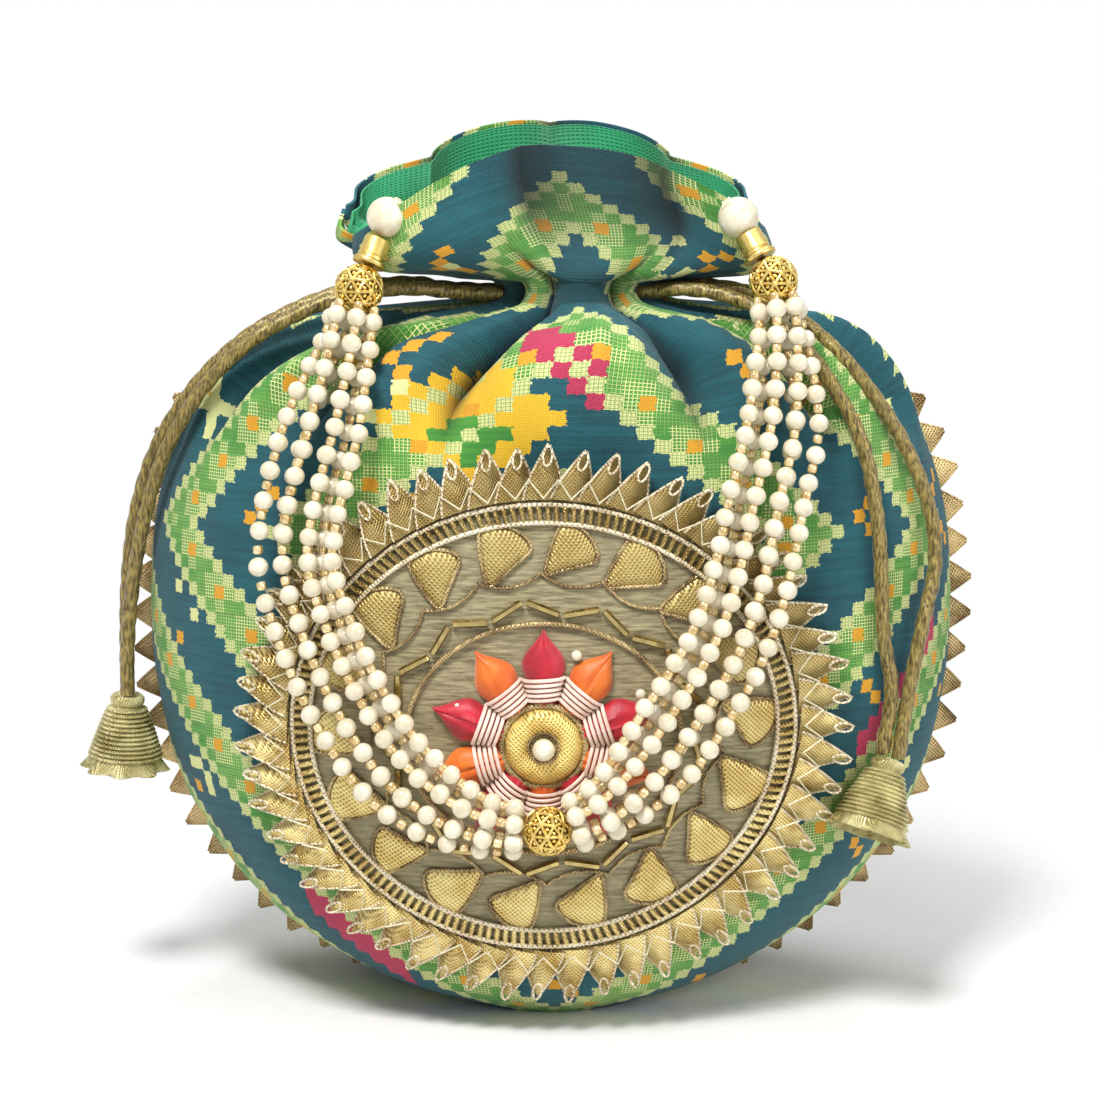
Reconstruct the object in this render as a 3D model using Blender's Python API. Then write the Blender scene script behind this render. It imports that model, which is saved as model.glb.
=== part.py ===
"""Potli bag: a round drawstring pouch with a beaded handle, standing on its base.

Units are metres, +Z is up and the front of the bag faces -Y.
The origin is the middle of the flat underside.
"""
import math

import bmesh
import bpy
from mathutils import Matrix, Vector

# Cloth outline from the edge of the base to the rim: height, half width, half depth
OUTLINE = (
    (0.0000, 0.0280, 0.0280),
    (0.0080, 0.0505, 0.0385),
    (0.0250, 0.0745, 0.0445),
    (0.0500, 0.0915, 0.0475),
    (0.0760, 0.0985, 0.0480),
    (0.1010, 0.1000, 0.0460),
    (0.1270, 0.0970, 0.0415),
    (0.1500, 0.0870, 0.0350),
    (0.1630, 0.0710, 0.0285),
    (0.1710, 0.0480, 0.0205),
    (0.1750, 0.0250, 0.0140),
    (0.1800, 0.0235, 0.0135),
    (0.1855, 0.0370, 0.0165),
    (0.1920, 0.0495, 0.0190),
    (0.1990, 0.0545, 0.0200),
    (0.2055, 0.0530, 0.0195),
)
NECK_BASE = 10                  # outline row where the gathers meet the neck
NECK_TOP = 11                   # outline row where the ruffle starts to flare
CLOTH_STEPS = 40                # columns round the whole bag
GATHERS = 10                    # gathers pulled in by the drawstring
GATHER_START = 0.130            # height where the gathers begin
GATHER_DEPTH = 0.0034
NECK_GATHER_DEPTH = 0.0011
LOBES = 6                       # waves of the ruffle
LOBE_DEPTH = 0.0042
CENTER_LIFT = 0.62              # how much higher the rim stands at front and back than at the sides

CLOTH_THICKNESS = 0.0010
LINING_GAP = 0.0009
LINING_THICKNESS = 0.0007
LINING_ROWS = (0, 2, 4, 6, 7, 8, 9, 10, 11, 12, 13, 14, 15)
RIM_DROP = 0.0008               # the lining stops this far below the rim
SEAM_Y = 0.005                  # plane of the seam between the two panels
SEAM_CLEAR = 0.0006             # from the seam plane to either panel

TRIM_COUNT = 48                 # folded triangles in the seam
TRIM_HEIGHT = 0.0063
TRIM_TOP_HEIGHT = 0.150
TRIM_HALF_THICKNESS = 0.0003
TRIM_ROOT = 0.0008
FLOOR_CLEAR = 0.0004

MEDALLION_CENTER = (-0.0015, 0.0775)
FIELD_CENTER = (-0.0015, 0.0757)    # middle of the bugle ring and of the couched oval
FLOWER_CENTER = (-0.0015, 0.0747)
PATCH_RADII = (0.0655, 0.0595)
PATCH_RINGS = (0.06, 0.28, 0.52, 0.76, 1.0)
PATCH_LIFT = 0.0006
PATCH_THICKNESS = 0.0010
PATCH_STEPS = 36
TOP_OF_PATCH = PATCH_LIFT + PATCH_THICKNESS + 0.0003
PETAL_COUNT = 56
PETAL_ROOT = (0.0605, 0.0545)
PETAL_NOTCH = (0.0655, 0.0595)
PETAL_TIP = (0.0715, 0.0655)
PETAL_THICKNESS = 0.0009
PETAL_RISE = 0.0011
BRAID_RADII = ((0.0554, 0.0494), (0.0594, 0.0534))
BRAID_THICKNESS = 0.0014
BRAID_STEPS = 40
WEDGE_COUNT = 18
WEDGE_OUTER = (0.0548, 0.0488)
WEDGE_NOTCH = (0.0530, 0.0470)
WEDGE_TIP = (0.0445, 0.0385)
WEDGE_THICKNESS = 0.0008
WEDGE_HALF_SHARE = 0.33
BUGLE_COUNT = 26
BUGLE_RADII = ((0.0353, 0.0299), (0.0387, 0.0333))
BUGLE_RADIUS = 0.0009
OVAL_RADII = (0.0325, 0.0278)
OVAL_STEPS = 32
OVAL_RADIUS = 0.0009

FLOWER_PETALS = 10
FLOWER_PETAL_START = 0.0120
FLOWER_PETAL_LENGTH = 0.0124
FLOWER_PETAL_SHAPE = ((0.0, 0.0022, 0.0016), (0.25, 0.0034, 0.0029), (0.55, 0.0048, 0.0031),
                      (0.82, 0.0030, 0.0022), (1.0, 0.0004, 0.0010))
PETAL_BASE_HEIGHT = 0.0006
BUTTON_PROFILE = ((0.0000, 0.0032), (0.0070, 0.0029), (0.0088, 0.0024), (0.0094, 0.0031),
                  (0.0104, 0.0028), (0.0106, 0.0008), (0.0100, 0.0000), (0.0000, 0.0000))
BUTTON_PEARL_RADIUS = 0.0027

HINGE_Y = -0.0195
HINGE_Z = 0.1970
HANDLE_ENDS = {
    "left": {"pearl": (-0.0390, HINGE_Y, HINGE_Z), "cap": (-0.0425, -0.0225, 0.1895),
             "ball": (-0.0455, -0.0258, 0.1806)},
    "right": {"pearl": (0.0450, HINGE_Y, HINGE_Z), "cap": (0.0493, -0.0225, 0.1905),
              "ball": (0.0532, -0.0258, 0.1826)},
}
END_PEARL_RADIUS = 0.0049
CAP_PROFILE = ((0.0012, 0.0000), (0.0012, 0.0062), (0.0024, 0.0066), (0.0032, 0.0062), (0.0032, 0.0014),
               (0.0040, 0.0009), (0.0040, 0.0000))
CAP_BACK = 0.0040               # from the cap's middle to its flanged end
BALL_RADIUS = 0.0060
BALL_GAP = 0.0004
CENTER_BALL = (-0.0007, -0.0602, 0.0565)

# Middle line of each bundle of bead strands, from the upper ball to the lowest ball
STRAND_ROUTES = {
    "left": ((-0.0455, -0.0258, 0.1806), (-0.0480, -0.0300, 0.1690), (-0.0530, -0.0375, 0.1505),
             (-0.0580, -0.0425, 0.1320), (-0.0595, -0.0452, 0.1180), (-0.0555, -0.0487, 0.1040),
             (-0.0485, -0.0518, 0.0880), (-0.0380, -0.0550, 0.0720), (-0.0260, -0.0582, 0.0623),
             (-0.0140, -0.0598, 0.0575), CENTER_BALL),
    "right": ((0.0532, -0.0258, 0.1826), (0.0548, -0.0305, 0.1700), (0.0545, -0.0375, 0.1505),
              (0.0505, -0.0435, 0.1325), (0.0465, -0.0487, 0.1142), (0.0415, -0.0525, 0.1003),
              (0.0335, -0.0550, 0.0864), (0.0216, -0.0580, 0.0700), (0.0105, -0.0597, 0.0605),
              CENTER_BALL),
}
# Place of each strand in its bundle, beside and above the middle line: at the balls, then where it spreads
STRAND_PLACES = (
    ((-0.0024, 0.0042), (-0.0031, 0.0022)),
    ((0.0024, 0.0042), (0.0031, 0.0022)),
    ((-0.0048, 0.0000), (-0.0093, 0.0022)),
    ((0.0048, 0.0000), (0.0093, 0.0022)),
    ((-0.0024, -0.0042), (-0.0050, -0.0024)),
    ((0.0024, -0.0042), (0.0050, -0.0024)),
)
SPREAD_LENGTH = 0.040
PEARL_PITCH = 0.0070
PEARL_RADIUS = 0.0022
SEED_RADIUS = 0.0011
PEARL_SHARE = 0.60              # part of each pitch that the pearl takes up

CORD_RADIUS = 0.0018
CORD_ROUTES = {
    "drawstring_left_front": (
        (-0.0262, -0.0070, 0.1776), (-0.0310, -0.0088, 0.1784), (-0.0400, -0.0106, 0.1784),
        (-0.0500, -0.0116, 0.1768), (-0.0610, -0.0126, 0.1728), (-0.0735, -0.0138, 0.1655),
        (-0.0850, -0.0142, 0.1540), (-0.0940, -0.0132, 0.1390), (-0.0995, -0.0118, 0.1230),
        (-0.1030, -0.0108, 0.1060), (-0.1048, -0.0106, 0.0900), (-0.1052, -0.0108, 0.0770)),
    "drawstring_left_back": (
        (-0.0274, 0.0000, 0.1776), (-0.0320, -0.0020, 0.1788), (-0.0400, -0.0048, 0.1790),
        (-0.0500, -0.0066, 0.1776), (-0.0615, -0.0080, 0.1736), (-0.0745, -0.0094, 0.1663),
        (-0.0866, -0.0100, 0.1548), (-0.0965, -0.0092, 0.1395), (-0.1022, -0.0078, 0.1230),
        (-0.1048, -0.0068, 0.1060), (-0.1056, -0.0066, 0.0900), (-0.1056, -0.0068, 0.0770)),
    "drawstring_right_front": (
        (0.0262, -0.0070, 0.1776), (0.0310, -0.0092, 0.1784), (0.0400, -0.0122, 0.1778),
        (0.0500, -0.0152, 0.1745), (0.0590, -0.0190, 0.1680), (0.0672, -0.0230, 0.1580),
        (0.0752, -0.0252, 0.1430), (0.0792, -0.0286, 0.1225), (0.0806, -0.0312, 0.0980),
        (0.0830, -0.0297, 0.0830), (0.0809, -0.0320, 0.0674)),
    "drawstring_right_back": (
        (0.0274, 0.0000, 0.1776), (0.0320, -0.0030, 0.1788), (0.0400, -0.0066, 0.1788),
        (0.0510, -0.0098, 0.1768), (0.0620, -0.0140, 0.1705), (0.0730, -0.0180, 0.1605),
        (0.0842, -0.0190, 0.1450), (0.0918, -0.0194, 0.1280), (0.0938, -0.0214, 0.1130),
        (0.0906, -0.0258, 0.0980), (0.0874, -0.0280, 0.0820), (0.0848, -0.0320, 0.0662)),
}
CORD_STEP = 0.0105
BELL_AXES = {
    "left": ((-0.1054, -0.0088, 0.0766), (-0.06, 0.0, -1.0)),
    "right": ((0.0826, -0.0322, 0.0661), (-0.30, -0.34, -0.89)),
}
# Bell outline from the collar down the ribbed outside to the rim and back inside: radius, distance down
BELL_PROFILE = (
    (0.0040, 0.0000), (0.0044, 0.0012), (0.0040, 0.0026), (0.0050, 0.0040), (0.0060, 0.0062),
    (0.0072, 0.0088), (0.0084, 0.0116), (0.0090, 0.0144), (0.0102, 0.0172), (0.0106, 0.0190),
    (0.0094, 0.0180), (0.0080, 0.0146), (0.0000, 0.0120))
BELL_SIDES = 16
BELL_WAVE_START = 0.0140
BELL_WAVE = 0.0007

LOOP_RADIUS = 0.0005
LOOP_SPAN = 0.0026
SIDES_THREAD = 4
SIDES_BEAD = 4
SIDES_ROUND = 12


def make_material(name, color, roughness, metallic=0.0):
    """Plain surface in the given colour."""
    material = bpy.data.materials.new(name)
    material.use_nodes = True
    shader = material.node_tree.nodes["Principled BSDF"]
    shader.inputs["Base Color"].default_value = (*color, 1.0)
    shader.inputs["Roughness"].default_value = roughness
    shader.inputs["Metallic"].default_value = metallic
    return material


def clear_scene():
    """Take away whatever the file starts with."""
    for old in list(bpy.data.objects):
        bpy.data.objects.remove(old, do_unlink=True)


def finish_mesh(name, mesh, material, parent=None, smooth=True):
    """Turn a bmesh into a named object, faces outward, kept in place under its parent."""
    bmesh.ops.recalc_face_normals(mesh, faces=mesh.faces)
    data = bpy.data.meshes.new(name)
    mesh.to_mesh(data)
    mesh.free()
    data.materials.append(material)
    if smooth:
        data.shade_smooth()
        data.set_sharp_from_angle(angle=math.radians(50))
    part = bpy.data.objects.new(name, data)
    bpy.context.scene.collection.objects.link(part)
    if parent is not None:
        part.parent = parent
        part.matrix_parent_inverse = Matrix.Translation(parent.location).inverted()
    return part


def mix(a, b, share):
    return a + (b - a) * share


def smooth_step(low, high, value):
    share = min(max((value - low) / (high - low), 0.0), 1.0)
    return share * share * (3.0 - 2.0 * share)


def curve_point(before, start, end, after, share):
    """Catmull-Rom point between start and end."""
    return 0.5 * (2 * start + (end - before) * share
                  + (2 * before - 5 * start + 4 * end - after) * share ** 2
                  + (3 * start - before - 3 * end + after) * share ** 3)


def outline_at(row):
    """Height, half width and half depth of the cloth at a row, which may lie between two rows."""
    last = len(OUTLINE) - 1
    low = min(int(row), last - 1)
    stations = [Vector(OUTLINE[min(max(i, 0), last)]) for i in range(low - 1, low + 3)]
    if low == 0:
        stations[0] = 2 * stations[1] - stations[2]
    if low == last - 1:
        stations[3] = 2 * stations[2] - stations[1]
    return curve_point(*stations, row - low)


def row_at_height(height):
    """Row of the bag's body at a height, found by halving."""
    low, high = 0.0, float(NECK_BASE)
    for _ in range(30):
        middle = (low + high) / 2
        if outline_at(middle).x < height:
            low = middle
        else:
            high = middle
    return low


def plain_cloth_point(angle, row):
    """Cloth point without its gathers."""
    height, half_width, half_depth = outline_at(row)
    if row > NECK_TOP:
        neck = OUTLINE[NECK_TOP][0]
        height = neck + (height - neck) * (1 + CENTER_LIFT * math.sin(angle) ** 2)
    return Vector((half_width * math.cos(angle), half_depth * math.sin(angle), height))


def fold(angle, row):
    """How far the gathers push the cloth out at a point."""
    height = outline_at(row).x
    if row <= NECK_BASE:
        start = smooth_step(GATHER_START, OUTLINE[8][0], height)
        end = smooth_step(OUTLINE[8][0], OUTLINE[NECK_BASE][0], height)
        depth = start * mix(GATHER_DEPTH, NECK_GATHER_DEPTH, end)
        return depth * -math.cos(GATHERS * angle)
    rise = smooth_step(OUTLINE[NECK_TOP][0], OUTLINE[14][0], height)
    gathers = (1 - rise) * NECK_GATHER_DEPTH * -math.cos(GATHERS * angle)
    return gathers + rise * LOBE_DEPTH * math.cos(LOBES * angle)


def cloth_point(angle, row, inset=0.0):
    """Cloth point with its gathers, moved in by inset along the plain surface's normal."""
    step = 0.01
    low, high = max(row - step, 0.0), min(row + step, len(OUTLINE) - 1.0)
    around = plain_cloth_point(angle + step, row) - plain_cloth_point(angle - step, row)
    upward = plain_cloth_point(angle, high) - plain_cloth_point(angle, low)
    normal = around.cross(upward).normalized()
    if row == 0:
        normal = Vector((0.0, 0.0, -1.0))
    return plain_cloth_point(angle, row) + normal * (fold(angle, row) - inset)


def front_point(x, z, lift=0.0):
    """Point of the bag's front at x and z, raised by lift."""
    _, half_width, half_depth = outline_at(row_at_height(z))
    share = min(abs(x / half_width), 0.999)
    angle = 1.5 * math.pi + math.copysign(math.asin(share), x)
    surface = Vector((x, half_depth * math.sin(angle), z))
    slope = (outline_at(row_at_height(z + 0.004)).z - outline_at(row_at_height(z - 0.004)).z) / 0.008
    normal = Vector((x / half_width ** 2, surface.y / half_depth ** 2, 0.0)).normalized()
    normal = Vector((normal.x, normal.y, -slope)).normalized()
    return surface + normal * lift


def ring_point(radii, angle, lift, center=MEDALLION_CENTER):
    """Point of an oval round the medallion's centre; angle 0 is to the right and grows upward."""
    x = center[0] + radii[0] * math.cos(angle)
    z = center[1] + radii[1] * math.sin(angle)
    return front_point(x, z, lift)


def build_slab(name, outer, inner, material, wrap=False, floor=False, parent=None):
    """Closed solid between two grids of points. wrap joins the last column to the first.
    floor closes the first row with one face on each side."""
    mesh = bmesh.new()
    front = [[mesh.verts.new(point) for point in row] for row in outer]
    back = [[mesh.verts.new(point) for point in row] for row in inner]
    rows, columns = len(front), len(front[0])
    spans = [(c, (c + 1) % columns) for c in range(columns if wrap else columns - 1)]
    for r in range(rows - 1):
        for c, n in spans:
            mesh.faces.new((front[r][c], front[r][n], front[r + 1][n], front[r + 1][c]))
            mesh.faces.new((back[r][c], back[r + 1][c], back[r + 1][n], back[r][n]))
        if not wrap:
            for c in (0, columns - 1):
                mesh.faces.new((front[r][c], front[r + 1][c], back[r + 1][c], back[r][c]))
    for r in ((rows - 1,) if floor else (0, rows - 1)):
        for c, n in spans:
            mesh.faces.new((front[r][c], front[r][n], back[r][n], back[r][c]))
    if floor:
        mesh.faces.new(front[0])
        mesh.faces.new(back[0])
        if not wrap:
            mesh.faces.new((front[0][0], front[0][-1], back[0][-1], back[0][0]))
    return finish_mesh(name, mesh, material, parent)


def frame_axes(tangent, up_hint):
    """Two directions square to the tangent: sideways and up."""
    tangent = tangent.normalized()
    side = tangent.cross(up_hint).normalized()
    return side, side.cross(tangent)


def build_tube(name, points, radii, sides, material, closed=False, parent=None, up_hint=(0, -1, 0)):
    """Tube through the points, with its own radius at each; an open one gets flat ends."""
    mesh = bmesh.new()
    hint = Vector(up_hint)
    rings = []
    count = len(points)
    for i, point in enumerate(points):
        before = points[i - 1] if closed or i > 0 else point
        after = points[(i + 1) % count] if closed or i < count - 1 else point
        side, upward = frame_axes(after - before, hint)
        ring = []
        for k in range(sides):
            angle = 2 * math.pi * (k + 0.5) / sides
            offset = side * math.cos(angle) + upward * math.sin(angle)
            ring.append(mesh.verts.new(point + offset * radii[i]))
        rings.append(ring)
    for i in range(count if closed else count - 1):
        first, second = rings[i], rings[(i + 1) % count]
        for k in range(sides):
            n = (k + 1) % sides
            mesh.faces.new((first[k], first[n], second[n], second[k]))
    if not closed:
        mesh.faces.new(rings[0])
        mesh.faces.new(rings[-1])
    return finish_mesh(name, mesh, material, parent)


def build_turned(name, profile, sides, material, place, parent=None, wave=None, closed_loop=False):
    """Solid turned from radius and height pairs, then set in place.
    A radius of 0 at either end of the profile is a pole."""
    mesh = bmesh.new()
    rings = []
    for radius, height in profile:
        if radius == 0.0:
            rings.append([mesh.verts.new(place @ Vector((0.0, 0.0, height)))])
            continue
        ring = []
        for k in range(sides):
            angle = 2 * math.pi * k / sides
            reach = radius + (wave(height) * (-1) ** k if wave else 0.0)
            point = Vector((reach * math.cos(angle), reach * math.sin(angle), height))
            ring.append(mesh.verts.new(place @ point))
        rings.append(ring)
    pairs = list(zip(rings, rings[1:]))
    if closed_loop:
        pairs.append((rings[-1], rings[0]))
    for first, second in pairs:
        for k in range(sides):
            n = (k + 1) % sides
            corners = [first[k % len(first)], first[n % len(first)],
                       second[n % len(second)], second[k % len(second)]]
            mesh.faces.new(list(dict.fromkeys(corners)))
    if not closed_loop:
        for ring in (rings[0], rings[-1]):
            if len(ring) > 1:
                mesh.faces.new(ring)
    return finish_mesh(name, mesh, material, parent)


def build_ball(name, center, radius, material, parent=None, segments=10, rings=7):
    """Smooth ball."""
    mesh = bmesh.new()
    bmesh.ops.create_uvsphere(mesh, u_segments=segments, v_segments=rings, radius=radius,
                              matrix=Matrix.Translation(center))
    return finish_mesh(name, mesh, material, parent)


def build_filigree_ball(name, center, radius, material, parent):
    """Stamped ball with a pit in each of its panels."""
    mesh = bmesh.new()
    bmesh.ops.create_uvsphere(mesh, u_segments=8, v_segments=6, radius=radius,
                              matrix=Matrix.Translation(center))
    panels = [face for face in mesh.faces if len(face.verts) == 4]
    bmesh.ops.inset_individual(mesh, faces=panels, thickness=radius * 0.14, depth=-radius * 0.10)
    return finish_mesh(name, mesh, material, parent, smooth=False)


def align_z(point, direction, hint=(0, 1, 0)):
    """Matrix that puts local +Z along the direction at the point."""
    z_axis = Vector(direction).normalized()
    x_axis = Vector(hint).cross(z_axis).normalized()
    y_axis = z_axis.cross(x_axis)
    turn = Matrix((x_axis, y_axis, z_axis)).transposed().to_4x4()
    return Matrix.Translation(point) @ turn


def even_route(points, step):
    """Points a step apart on a smooth curve through the given ones, with both ends kept."""
    route = [Vector(p) for p in points]
    padded = [2 * route[0] - route[1]] + route + [2 * route[-1] - route[-2]]
    dense = []
    for i in range(len(route) - 1):
        dense += [curve_point(*padded[i:i + 4], k / 16) for k in range(16)]
    dense.append(route[-1])
    lengths = [0.0]
    for a, b in zip(dense, dense[1:]):
        lengths.append(lengths[-1] + (b - a).length)
    count = max(round(lengths[-1] / step), 2)
    result, low = [], 0
    for i in range(count + 1):
        wanted = lengths[-1] * i / count
        while low < len(dense) - 2 and lengths[low + 1] < wanted:
            low += 1
        share = (wanted - lengths[low]) / (lengths[low + 1] - lengths[low])
        result.append(dense[low].lerp(dense[low + 1], share))
    return result


def seam_angle(row, y):
    """Angle on the right-hand side where the cloth at a row reaches depth y."""
    return math.asin(y / outline_at(row).z)


def panel_angles(row, front, clear=0.0):
    """Angles of one panel's columns at a row, from seam to seam."""
    if front:
        side = seam_angle(row, SEAM_Y - clear)
        start, end = math.pi - side, 2 * math.pi + side
    else:
        side = seam_angle(row, SEAM_Y + clear)
        start, end = side, math.pi - side
    half = CLOTH_STEPS // 2
    return [mix(start, end, i / half) for i in range(half + 1)]


def build_panel(name, front, material):
    """One of the two outer panels, with its half of the flat base."""
    def grid(inset):
        return [[cloth_point(angle, row, inset) for angle in panel_angles(row, front, SEAM_CLEAR)]
                for row in range(len(OUTLINE))]
    return build_slab(name, grid(0.0), grid(CLOTH_THICKNESS), material, floor=True)


def build_lining(material):
    """Plain inner bag, open at the rim. Its columns follow those of the panels."""
    def grid(inset):
        rows = []
        for row in LINING_ROWS:
            drop = Vector((0.0, 0.0, RIM_DROP)) if row == LINING_ROWS[-1] else Vector()
            angles = panel_angles(row, True)[:-1] + panel_angles(row, False)[:-1]
            rows.append([cloth_point(angle, row, inset) - drop for angle in angles])
        return rows
    inset = CLOTH_THICKNESS + LINING_GAP
    return build_slab("lining", grid(inset), grid(inset + LINING_THICKNESS), material,
                      wrap=True, floor=True)


def trim_stations():
    """Seam points, with the way out of the bag at each, from the left side under the base to the right."""
    top = row_at_height(TRIM_TOP_HEIGHT)
    side = []
    for i in range(60 + 1):
        row = top * (1 - i / 60)
        side.append(plain_cloth_point(math.pi - seam_angle(row, SEAM_Y), row))
    under = [Vector((mix(-1, 1, i / 8) * side[-1].x * -1, SEAM_Y, 0.0)) for i in range(1, 8)]
    points = side + under + [Vector((-p.x, p.y, p.z)) for p in reversed(side)]
    return even_route(points, 0.001)


def build_trim(material):
    """Band in the seam whose edge stands out as folded triangles."""
    path = trim_stations()
    columns = 2 * TRIM_COUNT
    near, far = [[], []], [[], []]
    for i in range(columns + 1):
        k = round(i / columns * (len(path) - 1))
        tangent = path[min(k + 1, len(path) - 1)] - path[max(k - 1, 0)]
        way_out = Vector((tangent.z, 0.0, -tangent.x)).normalized()
        height = TRIM_HEIGHT if i % 2 else TRIM_ROOT
        on_base = path[k].z < FLOOR_CLEAR
        if on_base or path[k].z < TRIM_ROOT:
            height = -FLOOR_CLEAR
        tip = path[k] + way_out * height
        if height > 0:
            tip.z = max(tip.z, FLOOR_CLEAR)
        root = path[k] - way_out * TRIM_ROOT
        lean = Vector((0.0, TRIM_HALF_THICKNESS, 0.0))
        for grid, sign in ((near, -1), (far, 1)):
            grid[0].append(root + lean * sign)
            grid[1].append(tip + lean * sign)
    return build_slab("seam_trim", near, far, material)


def build_patch(material):
    """Oval of dupion silk in the middle of the front."""
    def grid(lift):
        return [[ring_point((PATCH_RADII[0] * share, PATCH_RADII[1] * share),
                            2 * math.pi * i / PATCH_STEPS, lift) for i in range(PATCH_STEPS)]
                for share in PATCH_RINGS]
    return build_slab("medallion_patch", grid(PATCH_LIFT + PATCH_THICKNESS), grid(PATCH_LIFT),
                      material, wrap=True, floor=True)


def build_band(name, inner_radii, outer_radii, lifts, thickness, columns, material):
    """Flat ring on the medallion. Both edges and both lifts may change with the column."""
    def grid(extra):
        rows = []
        for radii, lift in ((inner_radii, lifts[0]), (outer_radii, lifts[1])):
            rows.append([ring_point(radii(i), 2 * math.pi * i / columns, lift(i) + extra)
                         for i in range(columns)])
        return rows
    return build_slab(name, grid(thickness), grid(0.0), material, wrap=True)


def build_petal_trim(material):
    """Ring of folded ribbon petals round the patch."""
    def tip(i):
        return PETAL_TIP if i % 2 else PETAL_NOTCH

    def tip_lift(i):
        return TOP_OF_PATCH + (PETAL_RISE if i % 2 else 0.0003)

    return build_band("petal_trim", lambda i: PETAL_ROOT, tip, (lambda i: TOP_OF_PATCH, tip_lift),
                      PETAL_THICKNESS, 2 * PETAL_COUNT, material)


def build_braid(material):
    """Flat braid over the roots of the petals."""
    def flat(i):
        return TOP_OF_PATCH

    return build_band("braid_ring", lambda i: BRAID_RADII[0], lambda i: BRAID_RADII[1], (flat, flat),
                      BRAID_THICKNESS, BRAID_STEPS, material)


def build_wedges(material):
    """Ring of ribbon wedges that point inward, joined at their roots."""
    steps = 4

    def inner(i):
        return WEDGE_TIP if i % steps == 0 else WEDGE_NOTCH

    def flat(i):
        return TOP_OF_PATCH

    return build_band("gota_wedges", inner, lambda i: WEDGE_OUTER, (flat, flat), WEDGE_THICKNESS,
                      steps * WEDGE_COUNT, material)


def build_bugle_ring(material):
    """Zigzag of bugle beads sewn end to end."""
    lift = TOP_OF_PATCH + BUGLE_RADIUS
    points = [ring_point(BUGLE_RADII[i % 2], 2 * math.pi * i / BUGLE_COUNT, lift, FIELD_CENTER)
              for i in range(BUGLE_COUNT)]
    return build_tube("bugle_ring", points, [BUGLE_RADIUS] * BUGLE_COUNT, SIDES_BEAD, material,
                      closed=True)


def build_oval_cord(material):
    """Couched cord round the flower's field."""
    lift = TOP_OF_PATCH + OVAL_RADIUS
    points = [ring_point(OVAL_RADII, 2 * math.pi * i / OVAL_STEPS, lift, FIELD_CENTER)
              for i in range(OVAL_STEPS)]
    return build_tube("oval_cord", points, [OVAL_RADIUS] * OVAL_STEPS, SIDES_BEAD, material,
                      closed=True)


def build_flower_petal(index, materials):
    """Pointed petal folded from silk, with a raised middle line."""
    angle = math.pi / 2 + 2 * math.pi * index / FLOWER_PETALS
    along = Vector((math.cos(angle), math.sin(angle)))
    across = Vector((-math.sin(angle), math.cos(angle)))
    upper, lower = [], []
    for share, half_width, height in FLOWER_PETAL_SHAPE:
        reach = FLOWER_PETAL_START + share * FLOWER_PETAL_LENGTH
        top_row, low_row = [], []
        for side, top in ((-1, PETAL_BASE_HEIGHT), (0, height), (1, PETAL_BASE_HEIGHT)):
            x, z = Vector(FLOWER_CENTER) + along * reach + across * (side * half_width)
            top_row.append(front_point(x, z, TOP_OF_PATCH + top))
            low_row.append(front_point(x, z, TOP_OF_PATCH))
        upper.append(top_row)
        lower.append(low_row)
    return build_slab(f"flower_petal_{index + 1:02d}", upper, lower, materials[index % 2])


def build_flower_middle(ribbon, pearl):
    """Woven button with a rolled rim, and the pearl sewn on it."""
    seat = front_point(*FLOWER_CENTER, TOP_OF_PATCH)
    build_turned("flower_button", BUTTON_PROFILE, 20, ribbon, align_z(seat, (0, -1, 0), (0, 0, 1)))
    top = max(height for _, height in BUTTON_PROFILE)
    raised = seat - Vector((0.0, top + BUTTON_PEARL_RADIUS + 0.0003, 0.0))
    build_ball("flower_pearl", raised, BUTTON_PEARL_RADIUS, pearl)


def build_handle_end(side, places, materials, handle):
    """Stitched pearl, tube cap and stamped ball at one end of the handle."""
    pearl, cap, ball = (Vector(places[key]) for key in ("pearl", "cap", "ball"))
    build_ball(f"end_pearl_{side}", pearl, END_PEARL_RADIUS, materials["pearl"], handle)
    toward_pearl = (pearl - ball).normalized()
    start = ball + toward_pearl * (BALL_RADIUS + BALL_GAP)
    build_turned(f"tube_cap_{side}", CAP_PROFILE, SIDES_ROUND, materials["gold"],
                 align_z(start, toward_pearl), handle, closed_loop=True)
    build_filigree_ball(f"filigree_ball_{side}", ball, BALL_RADIUS, materials["gold"], handle)


def bundle_point(route, lengths, distance, places):
    """Point of one strand at a distance along the bundle's middle line."""
    low = 0
    while low < len(route) - 2 and lengths[low + 1] < distance:
        low += 1
    share = (distance - lengths[low]) / (lengths[low + 1] - lengths[low])
    middle = route[low].lerp(route[low + 1], share)
    tangent = route[min(low + 2, len(route) - 1)] - route[max(low - 1, 0)]
    outward = Vector((middle.x / OUTLINE[5][1] ** 2, middle.y / OUTLINE[5][2] ** 2, 0.0))
    side, upward = frame_axes(tangent, outward)
    end = lengths[-1]
    spread = smooth_step(0.0, SPREAD_LENGTH, distance) * smooth_step(0.0, SPREAD_LENGTH, end - distance)
    (near_side, near_up), (wide_side, wide_up) = places
    return (middle + side * mix(near_side, wide_side, spread)
            + upward * mix(near_up, wide_up, spread))


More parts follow.
